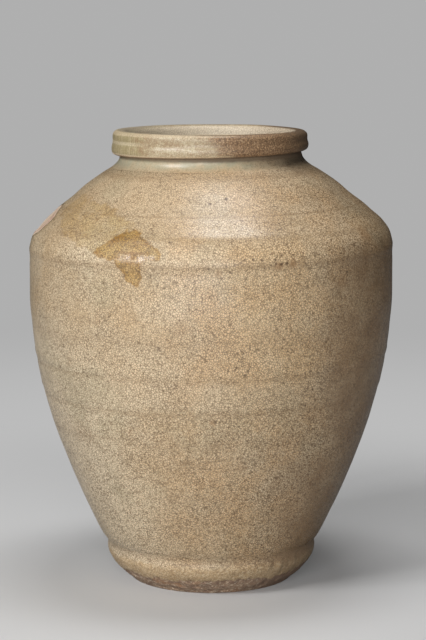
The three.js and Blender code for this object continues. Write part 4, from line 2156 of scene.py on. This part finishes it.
@dataclass(frozen=True)
class FootFinish:
    """The foot: the body's glaze, a smooth band of slip below it, and rough bare clay at the edge."""

    form: JarForm
    name: str = "foot_glaze_and_bare_clay"
    slip: Colour = (0.565, 0.395, 0.22)
    slip_tan: Colour = (0.46, 0.315, 0.17)
    umber: Colour = (0.27, 0.18, 0.105)
    clay: Colour = (0.42, 0.28, 0.185)
    burnt: Colour = (0.25, 0.16, 0.11)
    rust: Colour = (0.44, 0.235, 0.12)
    grit: Colour = (0.74, 0.62, 0.46)
    slip_places: Cloud = Cloud(9.0, 4.0, 5.5, 0.35, 0.65)
    smeared: Cloud = Cloud(4.0, 4.0, 8.1, 0.54, 0.74)
    pitted: Cloud = Cloud(1.3, 2.0, 12.4, 0.60, 0.68)
    browned: Cloud = Cloud(5.0, 3.0, 0.7, 0.35, 0.65)
    burnt_places: Cloud = Cloud(4.0, 5.0, 1.1, 0.35, 0.7)
    rusty_places: Cloud = Cloud(9.0, 3.0, 6.6, 0.56, 0.7)

    def material(self) -> bpy.types.Material:
        """Builds the finish of the foot and the underside.

        Returns:
            The material.
        """
        bench = NodeBench(self.name)
        azimuth, height = bench.azimuth(), bench.height(0.0)
        noted = bench.add("ShaderNodeAttribute", attribute_type="GEOMETRY", attribute_name=GLAZE_COVER)
        cover = noted.outputs["Fac"]
        fine = bench.times_plus(bench.grain(1.0, 3.0, 3.0), 1.0, -0.5)
        glazed = bench.step(bench.math("ADD", cover, fine), 0.3, 0.7)
        lines = Crackle().lines(bench)
        glaze = self.glaze(bench, azimuth, height, lines)
        edge = bench.band(cover, 0.05, 0.4, 0.5, 0.95)
        colour = bench.blend(glazed, self.bare(bench), glaze)
        colour = bench.blend(bench.product(edge, 0.4), colour, self.umber)
        body = GlazeFinish(self.form)
        bare = bench.minus(1.0, glazed)
        rough = bench.math("ADD", body.roughness(bench, lines), 0.18)
        rough = bench.times_plus(bare, 0.35, rough)
        coarse = bench.product(bench.grain(0.9, 4.0, 2.7), bare)
        relief = bench.total(bench.product(coarse, 5.0), bench.product(bench.grain(1.6, 2.0, 6.1), 0.5))
        relief = bench.minus(relief, bench.product(lines, glazed, 0.5))
        return bench.finish(colour, rough, bench.bump(relief, 0.06))

    def glaze(self, bench: NodeBench, azimuth: object, height: object, lines: object) -> Socket:
        """The body's glaze, which gives way to smooth slip above the bare clay.

        Args:
            bench: The material's bench.
            azimuth: The azimuth in degrees.
            height: The height in millimetres.
            lines: The cracks' pattern.

        Returns:
            The colour.
        """
        body = GlazeFinish(self.form)
        colour = body.toasted(bench, azimuth, height, body.ground(bench, azimuth, height))
        colour = body.crazed(bench, lines, colour)
        slip = bench.blend(self.slip_places.on(bench), self.slip_tan, self.slip)
        slip = bench.blend(bench.product(lines, 0.22), slip, body.crack)
        smears = self.smeared.on(bench)
        slip = bench.blend(bench.product(smears, 0.35), slip, self.umber)
        shade = bench.speckle(0.62)[0]
        slip = bench.blend(bench.product(bench.step(shade, 0.5, 0.0), 0.5), slip, self.umber)
        slip = bench.blend(bench.product(bench.step(shade, 0.5, 1.0), 0.4), slip, body.pale)
        lowered = bench.minus(height, 3.5)
        level = bench.times_plus(bench.grain(7.0, 4.0, 2.4), 7.0, lowered)
        # Painted shade in the waist above the foot, darkening the band there that the lamps light.
        dim = bench.product(bench.band(height, 15.5, 18.5, 20.0, 23.0), 0.28)
        colour = bench.blend(dim, colour, self.umber)
        slipped = bench.step(level, 17.6, 14.6)
        colour = bench.blend(bench.product(slipped, 0.9), colour, slip)
        pits = self.pitted.on(bench)
        colour = bench.blend(bench.product(pits, slipped, 0.7), colour, self.umber)
        brown = bench.right_of(azimuth, 22.0, 52.0)
        patchy = bench.times_plus(self.browned.on(bench), 0.4, 0.2)
        return bench.blend(bench.product(brown, patchy), colour, self.umber)

    def bare(self, bench: NodeBench) -> Socket:
        """The bare clay: burnt brown, with rusty places and pale grit, and darkest on the right.

        Args:
            bench: The material's bench.

        Returns:
            The colour.
        """
        clay = bench.blend(self.burnt_places.on(bench), self.clay, self.burnt)
        rusty = self.rusty_places.on(bench)
        clay = bench.blend(bench.product(rusty, 0.7), clay, self.rust)
        shade = bench.speckle(0.8)[0]
        clay = bench.blend(bench.product(bench.step(shade, 0.5, 0.0), 0.7), clay, self.burnt)
        clay = bench.blend(bench.product(bench.step(shade, 0.62, 1.0), 0.6), clay, self.grit)
        scorched = bench.right_of(bench.azimuth(), 15.0, 45.0)
        return bench.blend(bench.product(scorched, 0.8), clay, self.burnt)


@dataclass(frozen=True)
class CoilFinish:
    """The pressed coils inside the jar, under the same thin glaze as the inner wall."""

    name: str = "pressed_coil_glaze"
    tan: Colour = (0.50, 0.40, 0.27)
    umber: Colour = (0.33, 0.235, 0.15)

    def material(self) -> bpy.types.Material:
        """Builds the finish of the coils.

        Returns:
            The material.
        """
        bench = NodeBench(self.name)
        cloud = bench.grain(8.0, 4.0, 3.1)
        colour = bench.blend(bench.step(cloud, 0.35, 0.75), self.tan, self.umber)
        rough = bench.times_plus(cloud, 0.3, 0.35)
        return bench.finish(colour, rough, bench.bump(bench.grain(1.2, 3.0, 1.0), 0.12))


class StorageJar:
    """The whole jar, section by section from the foot up."""

    def __init__(self, form: JarForm) -> None:
        """Keeps the form and the marks that all sections share."""
        self.form = form
        self.marks = ThrowingMarks(form)

    def build(self) -> list[bpy.types.Object]:
        """Makes every piece of the jar in order.

        Returns:
            The pieces.
        """
        form, marks = self.form, self.marks
        body = GlazeFinish(form).material()
        sections = (
            (BaseDish(form, marks), FootFinish(form).material()),
            (self.wall("lower_body", "body_glaze", form.base_seam, form.belly_seam), body),
            (self.wall("upper_body", "body_glaze", form.belly_seam, form.shoulder_seam), body),
            (self.wall("shoulder", "shoulder_glaze", form.shoulder_seam, form.neck_seam), body),
            (NeckCollar(form, marks), NeckFinish(form).material()),
            (RimBand(form, marks), LipFinish().material()),
        )
        pieces = [section.build(finish) for section, finish in sections]
        pressed = CoilFinish().material()
        for node, height in (
            ("base_seam_coil", form.base_seam),
            ("belly_seam_coil", form.belly_seam),
            ("shoulder_seam_coil", form.shoulder_seam),
            ("neck_seam_coil", form.neck_seam),
        ):
            pieces.append(SeamCoil(form, marks, node, height).build(pressed))
        return pieces

    def wall(self, node: str, slot: str, low: float, high: float) -> WallSection:
        """A thrown section of wall between two seams."""
        return WallSection(self.form, self.marks, node, slot, (low, high))


@dataclass(frozen=True)
class Lamp:
    """A soft lamp that faces the jar: its direction, distance and panel, in degrees and metres."""

    name: str
    azimuth: float
    elevation: float
    distance: float
    width: float
    height: float
    power: float


@dataclass(frozen=True)
class Studio:
    """The pale floor, the soft lamps, the surroundings and the camera."""

    lamps: tuple[Lamp, ...] = (
        Lamp("key_left_panel", -56.0, 33.0, 2.4, 0.38, 0.6, 15.5),
        Lamp("key_right_panel", -43.0, 33.0, 2.4, 0.38, 0.6, 15.5),
        Lamp("front_fill", -8.0, 12.0, 2.4, 1.6, 1.2, 35.5),
        Lamp("top_panel", 90.0, 86.4, 1.27, 0.35, 0.55, 6.9),
    )
    aim_height: float = 0.13
    ambient: float = 0.02
    backdrop: float = 0.43
    floor_tone: float = 0.70
    floor_bounce: float = 0.34
    lit_floor: float = 0.50
    haze: float = 0.14
    floor_size: float = 12.0
    floor_drop: float = 0.0001
    floor_roughness: float = 0.85
    shadow_reach: float = 0.2
    near_floor: float = 0.42
    far_floor: float = 0.9
    camera_distance: float = 1.122
    camera_height: float = 0.308
    camera_side: float = 0.0010
    camera_tilt: float = 8.61
    lens: float = 119.4
    film: float = 36.0

    def build(self) -> None:
        """Sets up everything around the jar."""
        self.set_floor()
        self.set_world()
        for lamp in self.lamps:
            self.hang(lamp)
        self.set_camera()
        bpy.context.scene.view_settings.view_transform = "Standard"

    def set_floor(self) -> None:
        """Lays the pale floor, which keeps its tone far behind the jar."""
        sheet = bmesh.new()
        bmesh.ops.create_grid(sheet, x_segments=8, y_segments=8, size=self.floor_size / 2)
        bmesh.ops.translate(sheet, vec=(0, 0, -self.floor_drop), verts=sheet.verts)
        mesh = bpy.data.meshes.new("floor")
        sheet.to_mesh(mesh)
        sheet.free()
        mesh.materials.append(self.floor_material())
        floor = bpy.data.objects.new("floor", mesh)
        bpy.context.scene.collection.objects.link(floor)

    def floor_material(self) -> bpy.types.Material:
        """A matt pale grey, which the camera sees at steady tones where the lamps fade.

        Returns:
            The material.
        """
        bench = NodeBench("floor_paper")
        seen = bench.add("ShaderNodeLightPath").outputs["Is Camera Ray"]
        matt = bench.add("ShaderNodeBsdfPrincipled")
        tone = bench.blend(seen, grey(self.floor_bounce), grey(self.floor_tone))
        bench.feed(matt.inputs["Base Color"], tone)
        matt.inputs["Roughness"].default_value = self.floor_roughness
        reach = bench.from_axis()
        far = bench.add("ShaderNodeEmission")
        fade = bench.step(reach, self.near_floor, self.far_floor)
        bench.feed(far.inputs["Color"], bench.blend(fade, grey(self.lit_floor), grey(self.backdrop)))
        mix = bench.add("ShaderNodeMixShader")
        edge = bench.step(reach, self.shadow_reach, self.near_floor)
        lit = bench.times_plus(edge, 1 - self.haze, self.haze)
        bench.feed(mix.inputs[0], bench.product(lit, seen))
        bench.feed(mix.inputs[1], matt.outputs[0])
        bench.feed(mix.inputs[2], far.outputs[0])
        output = bench.add("ShaderNodeOutputMaterial")
        bench.feed(output.inputs["Surface"], mix.outputs[0])
        return bench.material

    def set_world(self) -> None:
        """Dim light from all round, with a grey that only the camera sees."""
        world = bpy.data.worlds.new("studio")
        world.use_nodes = True
        bpy.context.scene.world = world
        nodes, links = world.node_tree.nodes, world.node_tree.links
        nodes.clear()
        path = nodes.new("ShaderNodeLightPath")
        dim = nodes.new("ShaderNodeBackground")
        dim.inputs["Color"].default_value = (1.0, 1.0, 1.0, 1.0)
        dim.inputs["Strength"].default_value = self.ambient
        wall = nodes.new("ShaderNodeBackground")
        wall.inputs["Color"].default_value = (*grey(self.backdrop), 1.0)
        mix = nodes.new("ShaderNodeMixShader")
        output = nodes.new("ShaderNodeOutputWorld")
        links.new(path.outputs["Is Camera Ray"], mix.inputs[0])
        links.new(dim.outputs[0], mix.inputs[1])
        links.new(wall.outputs[0], mix.inputs[2])
        links.new(mix.outputs[0], output.inputs["Surface"])

    def hang(self, lamp: Lamp) -> None:
        """Hangs one lamp, facing the middle of the jar.

        Args:
            lamp: The lamp, with its place and strength.
        """
        light = bpy.data.lights.new(lamp.name, "AREA")
        light.shape = "RECTANGLE"
        light.size = lamp.width
        light.size_y = lamp.height
        light.energy = lamp.power
        turn, rise = math.radians(lamp.azimuth), math.radians(lamp.elevation)
        flat = lamp.distance * math.cos(rise)
        aim = Vector((0.0, 0.0, self.aim_height))
        spot = aim + Vector((flat * math.sin(turn), -flat * math.cos(turn), lamp.distance * math.sin(rise)))
        holder = bpy.data.objects.new(lamp.name, light)
        holder.location = spot
        holder.rotation_euler = (aim - spot).to_track_quat("-Z", "Y").to_euler()
        bpy.context.scene.collection.objects.link(holder)

    def set_camera(self) -> None:
        """Places the camera a little above the jar and looks down on it."""
        camera = bpy.data.cameras.new("camera")
        camera.sensor_fit = "VERTICAL"
        camera.sensor_height = self.film
        camera.lens = self.lens
        camera.clip_end = 50.0
        holder = bpy.data.objects.new("camera", camera)
        holder.location = (self.camera_side, -self.camera_distance, self.camera_height)
        holder.rotation_euler = (math.radians(90 - self.camera_tilt), 0.0, 0.0)
        bpy.context.scene.collection.objects.link(holder)
        bpy.context.scene.camera = holder


def main() -> None:
    """Loads the frame, dresses the jar and sets up the studio."""
    logging.basicConfig(level=logging.INFO, format="%(name)s: %(message)s")
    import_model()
    Studio().build()
    pieces = StorageJar(JarForm.from_frame()).build()
    LOG.info("%d pieces dressed", len(pieces))


if __name__ == "__main__":
    main()
